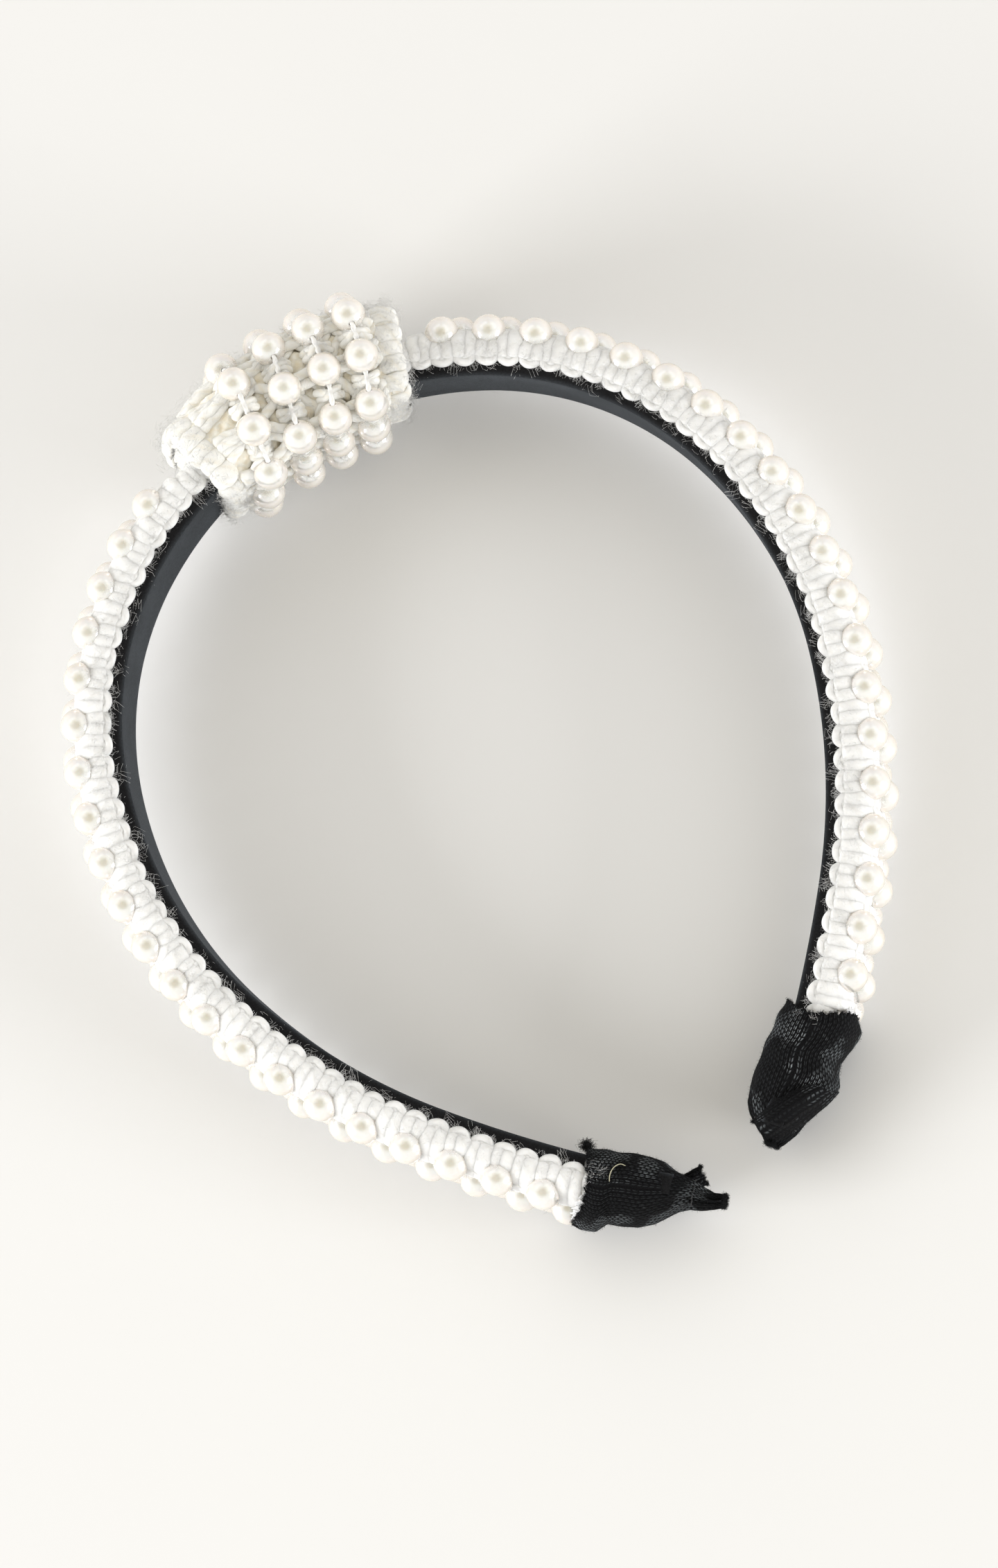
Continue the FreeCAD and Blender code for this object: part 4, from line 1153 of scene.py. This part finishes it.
        # on the outer side, where the wrap stands clear of the band, its edge turns in and closes the gap
        deep = np.clip((lineS[:, 0] - 9.0) / 2.5, 0, 1)[:, None] * np.array([0, 0, 0, 0, 0, 0, 0.5, 1.9, 3.2])[None]
        base[:, :, 1] -= NS[:, None, 0] * deep
        base[:, :, 2] -= NS[:, None, 1] * deep
        Ps = spline(base, 22)
        refs = np.zeros((cnt, 22, 3))
        refs[:, :, 1] = NS[:, None, 0]
        refs[:, :, 2] = NS[:, None, 1]
        refs[:, :, 0] = 0.25 * sg
        pitch = 52.0 / cnt
        rad = round_ends(22, 0.2)[None] * (1 + 0.07 * g.normal(size=(cnt, 1)))
        X, L = tube(Ps, 1.62 * rad, 0.70 * rad, ref=refs, m=14, lobes=0.05, ply=2.6, phase=g.uniform(0, TAU, cnt))
        Mm.grids(knot_at(X), U=(L + g.uniform(0, 9, (cnt, 1)))[:, :, None], wrap=True, ends=True)
        o = Mm.build("knot_ribbed_selvedge_" + nm, [YARN_KNOT_PAINTED_SHADE, KNOT_GROUND_PAINTED_SHADE])
        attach(o, "crown")
        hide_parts("knot_selvedge_" + nm)
        nf = 1300
        ci = g.integers(0, cnt, nf)
        ti = g.integers(2, 21, nf)
        rp = Ps[ci, ti]
        nv = refs[ci, ti]
        dr = unit(nv + g.normal(size=(nf, 3)) * 0.75)
        root, tip = knot_at(rp + dr * 0.7), knot_at(rp + dr * 1.8)
        fibres(F, root, tip - root, g.uniform(0.6, 2.3, nf) * MM, 1.3, 0.022 * MM, n=7, seed=9 if sg > 0 else 10)
    f = F.build("knot_loose_fibres", [FUZZ])
    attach(f, "crown")


# ---------------------------------------------------------------- tip caps


def smooth_grid(A, k, wrap_axis=None):
    for _ in range(k):
        B = A.copy()
        B[1:-1] = 0.25 * A[:-2] + 0.5 * A[1:-1] + 0.25 * A[2:]
        A = B
        A = 0.25 * np.roll(A, 1, 1) + 0.5 * A + 0.25 * np.roll(A, -1, 1)
    return A


def skin(P, I, U, M, mats=0):
    """Closed shell between an outer and an inner tube (n, m, 3)."""
    full = np.concatenate([P, I[::-1], P[:1]], 0)
    M.grids(full[None], U=np.concatenate([U, U[::-1], U[:1]])[None, :, None], wrap=True, mat=mats)


def tube_normals(P):
    T1 = np.gradient(P, axis=0)
    T2 = np.roll(P, -1, 1) - np.roll(P, 1, 1)
    N = unit(np.cross(T1, T2))
    if ((P - P.mean(1, keepdims=True)) * N).sum() < 0:
        N = -N
    return N


def cap(side, word):
    g = np.random.default_rng(33 if side > 0 else 34)
    nth, ns = 416, 190
    C = CAPS[side]
    s0, s1 = C[0, 0], C[-1, 0]
    S = np.linspace(s0, s1, ns)
    th = np.arange(nth) / nth * TAU                       # 0 points outwards, a quarter turn to the upper side
    lo, hi, half = (np.interp(S, C[:, 0], C[:, k]) for k in (1, 2, 3))
    for arr in (lo, hi, half):
        arr[2:-2] = np.convolve(arr, [0.15, 0.2, 0.3, 0.2, 0.15], "same")[2:-2]
    ex = np.interp(S, [s0, s0 + 12, s1 - 4, s1], [0.72, 0.72, 0.9, 1.0])
    cs, sn = np.cos(th), np.sin(th)
    out = np.zeros((ns, nth, 3))
    wales = 60
    ridge = 0.12 * (np.abs(np.sin(th * wales / 2)) ** 0.55 - 0.6)
    lumps = []
    for row, rr, zz, pitch, turn, away in ROWS:
        for sp in row_places(side, pitch, turn, away):
            if sp > s0 - 3:
                lumps.append((sp, math.atan2(zz, rr - 4.5)))
    mouth = 2.4 * np.clip(-np.cos(th - 0.5), 0, 1) ** 2 * 0 + (
        1.5 + 2.3 * np.exp(-((th - math.radians(70)) / 1.1) ** 2) if side < 0
        else 1.3 * np.exp(-((th - math.radians(100)) / 0.6) ** 2))
    for i, s in enumerate(S):
        a = (hi[i] - lo[i]) / 2
        c = (hi[i] + lo[i]) / 2
        k = (s - s0) / (s1 - s0)
        late = np.clip((k - 0.45) / 0.45, 0, 1)
        late = late * late * (3 - 2 * late)
        soft = np.clip((k - 0.9) / 0.1, 0, 1)
        x = a * np.sign(cs) * np.abs(cs) ** ex[i]
        z = half[i] * np.sign(sn) * np.abs(sn) ** ex[i]
        rad = ridge * (1 - 0.5 * late)
        for sp, ang in lumps:
            w = np.exp(-((s - sp) / 2.3) ** 2 - (((th - ang + math.pi) % TAU - math.pi) / 0.5) ** 2)
            rad = rad + (0.55 if side < 0 else 0.34) * w * (1 - late)
        # slack cloth gathers in soft folds on its way to the closed end
        rad = rad + late * (0.34 * np.sin(7 * th + 0.12 * s + side) + 0.22 * np.sin(11 * th - 0.2 * s)) * (1 - 0.5 * soft)
        rad = rad + 0.10 * np.sin(3 * th + s * 0.55) * np.sin(0.9 * s + th) + (1 - late) * 0.12 * np.sin(s * 1.25 + 1.3 * np.sin(2 * th))
        nrm = np.maximum(np.hypot(cs / a, sn / half[i]), 1e-6)
        shift = mouth * np.clip(1 - (s - s0) / 9.0, 0, 1)
        fray = (0.16 * np.sin(23 * th + 1) + 0.12 * np.sin(41 * th)) * (np.clip(1 - (s - s0) / 1.2, 0, 1) - np.clip(1 - (s1 - s) / 1.2, 0, 1))
        out[i, :, 0] = s + shift + fray
        out[i, :, 1] = c + x + rad * (cs / a) / nrm
        out[i, :, 2] = z + rad * (sn / half[i]) / nrm
    P = at3(side, out)
    N = tube_normals(P)
    thin = 0.45 * (1 - 0.6 * np.clip((S - s1 + 8) / 6, 0, 1))
    I = P - N * (thin * MM)[:, None, None]
    M = Mesh()
    skin(P, I, S, M)
    for end, step, nf, ln, sd in ((0, 2, 900, (0.12, 0.5), 11), (-1, -3, 1100, (0.2, 0.7), 12)):
        j = g.integers(0, nth, nf)
        root = P[end, j]
        away = unit(P[end, j] - P[step, j]) + g.normal(size=(nf, 3)) * 0.45 + N[end, j] * 0.15
        fibres(M, root, away, g.uniform(*ln, nf) * MM, 1.1, 0.026 * MM, n=5, mat=1, seed=sd)
    # short nap standing off the knit
    nf = 2600
    i, j = g.integers(2, ns - 2, nf), g.integers(0, nth, nf)
    fibres(M, P[i, j], N[i, j] + g.normal(size=(nf, 3)) * 0.7, g.uniform(0.15, 0.45, nf) * MM, 1.0, 0.014 * MM, n=4, mat=1, seed=13)
    if side < 0:
        # a tuft of pulled threads at the inner corner of the mouth
        j = int(nth * 0.44)
        nf = 260
        jj = (j + g.integers(-9, 10, nf)) % nth
        away = unit(P[0, jj] - P[4, jj]) * 0.7 + unit(at(side, s0, -5.0, 6.0) - at(side, s0, 0.0, 6.0)) * 0.6 + g.normal(size=(nf, 3)) * 0.55
        fibres(M, P[0, jj], away, g.uniform(0.4, 1.5, nf) * MM, 1.3, 0.034 * MM, n=6, mat=1, seed=14)
    o = M.build(word + "_knit_cap", [KNIT, BLACK_FUZZ])
    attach(o, word + "_leg")
    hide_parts(word + "_end_cap")

    # the spare end of the cap: on the right folded across the tip, on the left a square lap turned to the inner side
    def face_z(s_, r_):
        l_, h_, z_, x_ = (np.interp(s_, C[:, 0], C[:, k]) for k in (1, 2, 3, 1))
        e_ = np.interp(s_, [s0, s0 + 12, s1 - 4, s1], [0.72, 0.72, 0.9, 1.0])
        f_ = np.clip(np.abs(r_ - (l_ + h_) / 2) / ((h_ - l_) / 2), 0, 0.985)
        return z_ * (1 - f_ ** (2 / e_)) ** (e_ / 2)

    if side > 0:
        grid = [[(182.3, 5.6), (182.3, 7.9), (181.7, 9.9)],
                [(184.8, 3.1), (185.2, 5.6), (185.6, 8.0)],
                [(187.3, 0.6), (188.2, 2.9), (189.0, 5.3)],
                [(190.0, -1.8), (191.2, 0.4), (192.5, 2.8)]]
        ctrl = np.array([[(a_, b_, face_z(a_, b_) + lift_) for (a_, b_), lift_ in zip(row_, (1.25, 1.35, 0.7))] for row_ in grid])
        ctrl[0, :, 2] -= 1.2
        ctrl[:, 2, 2] = [0.6, 1.2, 1.4, 1.0]
        thick, lines = 0.8, 7
    else:
        ctrl = np.array([[(190.4, 0.4, 2.0), (191.0, 1.9, 2.6), (191.7, 3.2, 2.6)],
                         [(191.9, -0.9, 1.5), (192.6, 0.7, 2.0), (193.4, 2.3, 2.2)],
                         [(193.5, -2.2, 2.3), (194.4, -0.9, 1.6), (195.3, 0.5, 1.3)]])
        thick, lines = 0.36, 6
    n, m, nv = 70, 132, 61
    G = spline(ctrl.transpose(1, 0, 2), n).transpose(1, 0, 2)            # (n, 3 across, 3)
    G = spline(G, nv)                                                     # (n, nv, 3)
    T = unit(np.gradient(G, axis=0))
    B = unit(np.gradient(G, axis=1))
    Nn = unit(np.cross(T, B))
    Nn = Nn * np.sign(Nn[..., 2].mean())
    a = np.arange(m) / m * TAU
    ca, sa = np.cos(a), np.sin(a)
    vv = 0.5 + 0.5 * np.sign(ca) * np.abs(ca) ** 0.8
    iv = vv * (nv - 1)
    i0 = np.clip(iv.astype(int), 0, nv - 2)
    fr = (iv - i0)[None, :, None]
    base = G[:, i0] * (1 - fr) + G[:, i0 + 1] * fr
    nb = Nn[:, i0] * (1 - fr) + Nn[:, i0 + 1] * fr
    off = thick * np.sign(sa) * np.abs(sa) ** 0.6 + np.where(sa > 0.15, 0.11 * (np.abs(np.sin(vv * math.pi * lines)) ** 0.6 - 0.6), 0)
    along_ = np.linspace(0, 1, n)[:, None]
    roll = 0.10 * np.sin(9 * along_ + 2 * vv[None]) + 0.07 * np.sin(17 * along_ + 5 * vv[None])
    Q = base + nb * (off[None] + roll)[..., None]
    ragged = 0.22 * np.sin(13 * vv + 1) + 0.15 * np.sin(31 * vv)
    Q[..., 0] += np.clip(along_ * 6 - 5, 0, 1) * ragged[None]
    Pf = at3(side, Q)
    L = np.linalg.norm(np.diff(G[:, nv // 2], axis=0), axis=1)
    L = np.concatenate([[0], np.cumsum(L)])
    F = Mesh()
    F.grids(Pf[None], U=L[None, :, None], wrap=True, ends=True)
    for end, step in ((-1, -3),):
        nf = 620
        j = g.integers(0, m, nf)
        mixr = g.random((nf, 1))
        j2 = (m - j) % m
        root = Pf[end, j] * mixr + Pf[end, j2] * (1 - mixr)
        away = unit(Pf[end, j] - Pf[step, j]) + g.normal(size=(nf, 3)) * 0.4
        fibres(F, root, away, g.uniform(0.15, 0.6, nf) * MM, 1.1, 0.028 * MM, n=5, mat=1, seed=21)
    nf = 700
    i, j = g.integers(2, n - 2, nf), g.integers(0, m, nf)
    fibres(F, Pf[i, j], at3(side, Q[i, j] + nb[i, j] * np.sign(off[j])[:, None]) - Pf[i, j] + g.normal(size=(nf, 3)) * 0.6 * MM,
           g.uniform(0.1, 0.35, nf) * MM, 1.0, 0.014 * MM, n=4, mat=1, seed=22)
    o2 = F.build(word + "_cap_folded_end", [KNIT_TAIL, BLACK_FUZZ])
    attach(o2, word + "_leg")
    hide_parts(word + "_end_cap")

    if side < 0:
        st_ = np.array([(180.6, 3.6), (180.4, 2.6), (180.5, 1.6), (180.9, 0.8), (181.6, 0.3), (182.5, 0.4)])
        st_ = np.concatenate([st_, (face_z(st_[:, 0], st_[:, 1]) + 0.22)[:, None]], 1)
        X, L = tube(spline(st_, 40), 0.075 * round_ends(40, 0.1), ref=(0.1, 0.2, 0.9), m=8)
        Mf = Mesh()
        Mf.grids(at3(side, X), U=L[:, :, None], wrap=True, ends=True)
        sf = Mf.build("left_stray_fibre", [STRAW])
        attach(sf, "left_leg")

    # white ribbon end showing at the mouth of the cap
    k0, k1 = (0.02, 0.22) if side < 0 else (-0.06, 0.13)
    fr = np.linspace(k0, k1, 40)
    jj = (np.round(fr * nth).astype(int)) % nth
    e = np.sin(np.linspace(0, math.pi, 40)) ** 0.7
    rows_ = []
    for f_ in np.linspace(0, 1, 9):
        back = P[4, jj] - N[4, jj] * 0.62 * MM
        front = P[0, jj] - N[0, jj] * (0.55 - 0.3 * f_) * MM + unit(P[0, jj] - P[3, jj]) * (0.35 + 1.0 * e[:, None]) * MM
        rows_.append(back * (1 - f_) + front * f_)
    A = np.array(rows_)
    Bq = A - N[0, jj][None] * 0.16 * MM
    ringq = np.concatenate([A, Bq[::-1], A[:1]], 0)
    Mq = Mesh()
    Mq.grids(ringq[None], U=np.arange(len(ringq))[None, :, None] * 0.4, W=np.linspace(0, 1, 40)[None, None, :])
    t_ = Mq.build(word + "_satin_end", [SATIN])
    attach(t_, word + "_leg")
    # closing stitches across the tail
    row_ = []
    i = int(ns * (0.86 if side > 0 else 0.80))
    for q_ in range(6):
        j = int((0.05 + 0.07 * q_) * nth)
        a_, b_ = P[i, j] + N[i, j] * 0.16 * MM, P[i, (j + 10) % nth] + N[i, (j + 10) % nth] * 0.16 * MM
        mid = (a_ + b_) / 2 + N[i, j] * 0.14 * MM
        row_.append(spline(np.array([a_ - N[i, j] * 0.4 * MM, a_, mid, b_, b_ - N[i, j] * 0.4 * MM]), 16)[0])
    X, L = tube(np.array(row_), 0.12 * MM, ref=(0.1, 0.2, 0.9), m=8, lobes=0.12, ply=0.6 * MM)
    Mt = Mesh()
    Mt.grids(X, U=(L / MM)[:, :, None], wrap=True, ends=True)
    t2 = Mt.build(word + "_closing_stitches", [THREAD])
    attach(t2, word + "_leg")
    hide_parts(word + "_cap_stitches")


for side, word in ((1, "right"), (-1, "left")):
    a = lining(side, word)
    b = satin(side, word)
    c = ground(side, word)
    if side > 0:
        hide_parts("crown_lining")
        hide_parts("crown_backing_ribbon")
        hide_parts("crown_padding")
    ribs(side, word)
    leg_pearls(side, word)
    cap(side, word)
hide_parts("crown_crochet_cover")
knot()

# kept CAD nodes get finished materials
for name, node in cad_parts.items():
    m = None
    if name.endswith("hoop"):
        m = PLASTIC
    elif name.endswith("cap_glue") or name.endswith("glue_pad"):
        m = GLUE
    elif name.startswith("crown_pearls"):
        m = PEARL
    if m is not None:
        for sl in node.material_slots:
            sl.material = m

# ---------------------------------------------------------------- floor, light, camera

psi, tx, ty = math.radians(30.79), -0.13338844, 0.14867222
S_PX, DIST = 8.67, 1000.0
n_ = np.array([tx, ty, math.sqrt(1 - tx * tx - ty * ty)])
d_ = np.array([-math.sin(psi), math.cos(psi), 0.0])
yv = d_ - n_ * np.dot(d_, n_)
yv /= np.linalg.norm(yv)
xv = np.cross(yv, n_)
ox, oy = (740.9 - 720) / S_PX, -(1149.1 - 1131.5) / S_PX
BASIS = np.array([xv, yv, n_])              # rows: band axes in camera coordinates
TILT_M = np.array([[1, 0, 0], [0, CT, -ST], [0, ST, CT]])


def cam_vec(a, b, c):
    """World direction of a camera-space direction (right, up, towards the camera)."""
    return TILT_M @ (BASIS @ np.array([a, b, c], float))


eye = BASIS @ (np.array([0, 0, DIST]) - np.array([ox, oy, 0]))
eye = TILT_M @ (eye - np.array([0, 72.0, 0])) + np.array([0, CROWN_Y, CROWN_Z])
right, up, back = cam_vec(1, 0, 0), cam_vec(0, 1, 0), cam_vec(0, 0, 1)
cam_data = bpy.data.cameras.new("camera")
cam = bpy.data.objects.new("camera", cam_data)
bpy.context.scene.collection.objects.link(cam)
cam.matrix_world = Matrix(((right[0], up[0], back[0], eye[0] * MM), (right[1], up[1], back[1], eye[1] * MM),
                           (right[2], up[2], back[2], eye[2] * MM), (0, 0, 0, 1)))
cam_data.sensor_fit = "VERTICAL"
cam_data.sensor_height = 24.0
cam_data.lens = S_PX * DIST / 2263 * 24.0
cam_data.clip_start, cam_data.clip_end = 0.05, 30
bpy.context.scene.camera = cam

fm = Mat("white table")
foc = obj_coords(fm)
fm.link(fm.ramp(fm.noise(foc, 3.0, 3), [(0.3, (0.80, 0.80, 0.805)), (0.7, (0.82, 0.82, 0.82))]), fm.b.inputs["Base Color"])
fm.link(fm.bump(fm.noise(foc, 600, 2), 0.02 * MM, 0.3), fm.b.inputs["Normal"])
fm.set(Roughness=0.32, Specular_IOR_Level=0.35)
bpy.ops.mesh.primitive_plane_add(size=6, location=(0, 0, -0.0002))
floor = bpy.context.object
floor.name = "table"
floor.data.materials.append(fm.m)


def area(name, direction, dist, size, power, color=(1, 1, 1), target=(0, 0, 0.01)):
    L = bpy.data.lights.new(name, "AREA")
    L.shape = "RECTANGLE"
    L.size, L.size_y = size
    L.energy = power
    L.color = color
    o = bpy.data.objects.new(name, L)
    bpy.context.scene.collection.objects.link(o)
    d = Vector(direction).normalized()
    o.location = Vector(target) + d * dist
    o.rotation_euler = (-d).to_track_quat("-Z", "Y").to_euler()
    return o


def low(a, b, elev):
    """World direction towards image direction (a, b), at an elevation in degrees above the table."""
    v = cam_vec(a, b, 0)
    v[2] = 0
    v = v / np.linalg.norm(v)
    e = math.radians(elev)
    return (v[0] * math.cos(e), v[1] * math.cos(e), math.sin(e))


area("left strobe", low(-0.90, -0.40, 17), 1.7, (0.78, 0.51), 23.0, (1.0, 1.0, 0.995))
area("right strobe", low(0.95, -0.28, 14), 1.7, (0.78, 0.45), 17.0, (1.0, 1.0, 0.995))
area("overhead left", low(-0.5, 0.6, 55), 1.8, (1.6, 1.3), 2.6, (1.0, 0.995, 0.985))
area("overhead right", low(0.6, 0.55, 52), 1.8, (1.6, 1.3), 2.2, (1.0, 0.99, 0.975))

world = bpy.data.worlds.new("studio")
bpy.context.scene.world = world
world.use_nodes = True
wt = world.node_tree
bg = wt.nodes["Background"]
# pale walls round the table, a duller ceiling
tc = wt.nodes.new("ShaderNodeTexCoord")
sp = wt.nodes.new("ShaderNodeSeparateXYZ")
rp = wt.nodes.new("ShaderNodeValToRGB")
wt.links.new(tc.outputs["Generated"], sp.inputs[0])
wt.links.new(sp.outputs[2], rp.inputs[0])
rp.color_ramp.elements[0].position = 0.55
rp.color_ramp.elements[0].color = (0.99, 0.99, 0.985, 1)
rp.color_ramp.elements[1].position = 0.91
rp.color_ramp.elements[1].color = (0.33, 0.265, 0.13, 1)
e2_ = rp.color_ramp.elements.new(0.75)
e2_.color = (0.90, 0.89, 0.86, 1)
wt.links.new(rp.outputs[0], bg.inputs[0])
bg.inputs[1].default_value = 0.94

sc = bpy.context.scene
sc.view_settings.view_transform = "Standard"
sc.view_settings.look = "None"
sc.view_settings.exposure = 0.0
sc.view_settings.gamma = 1.0
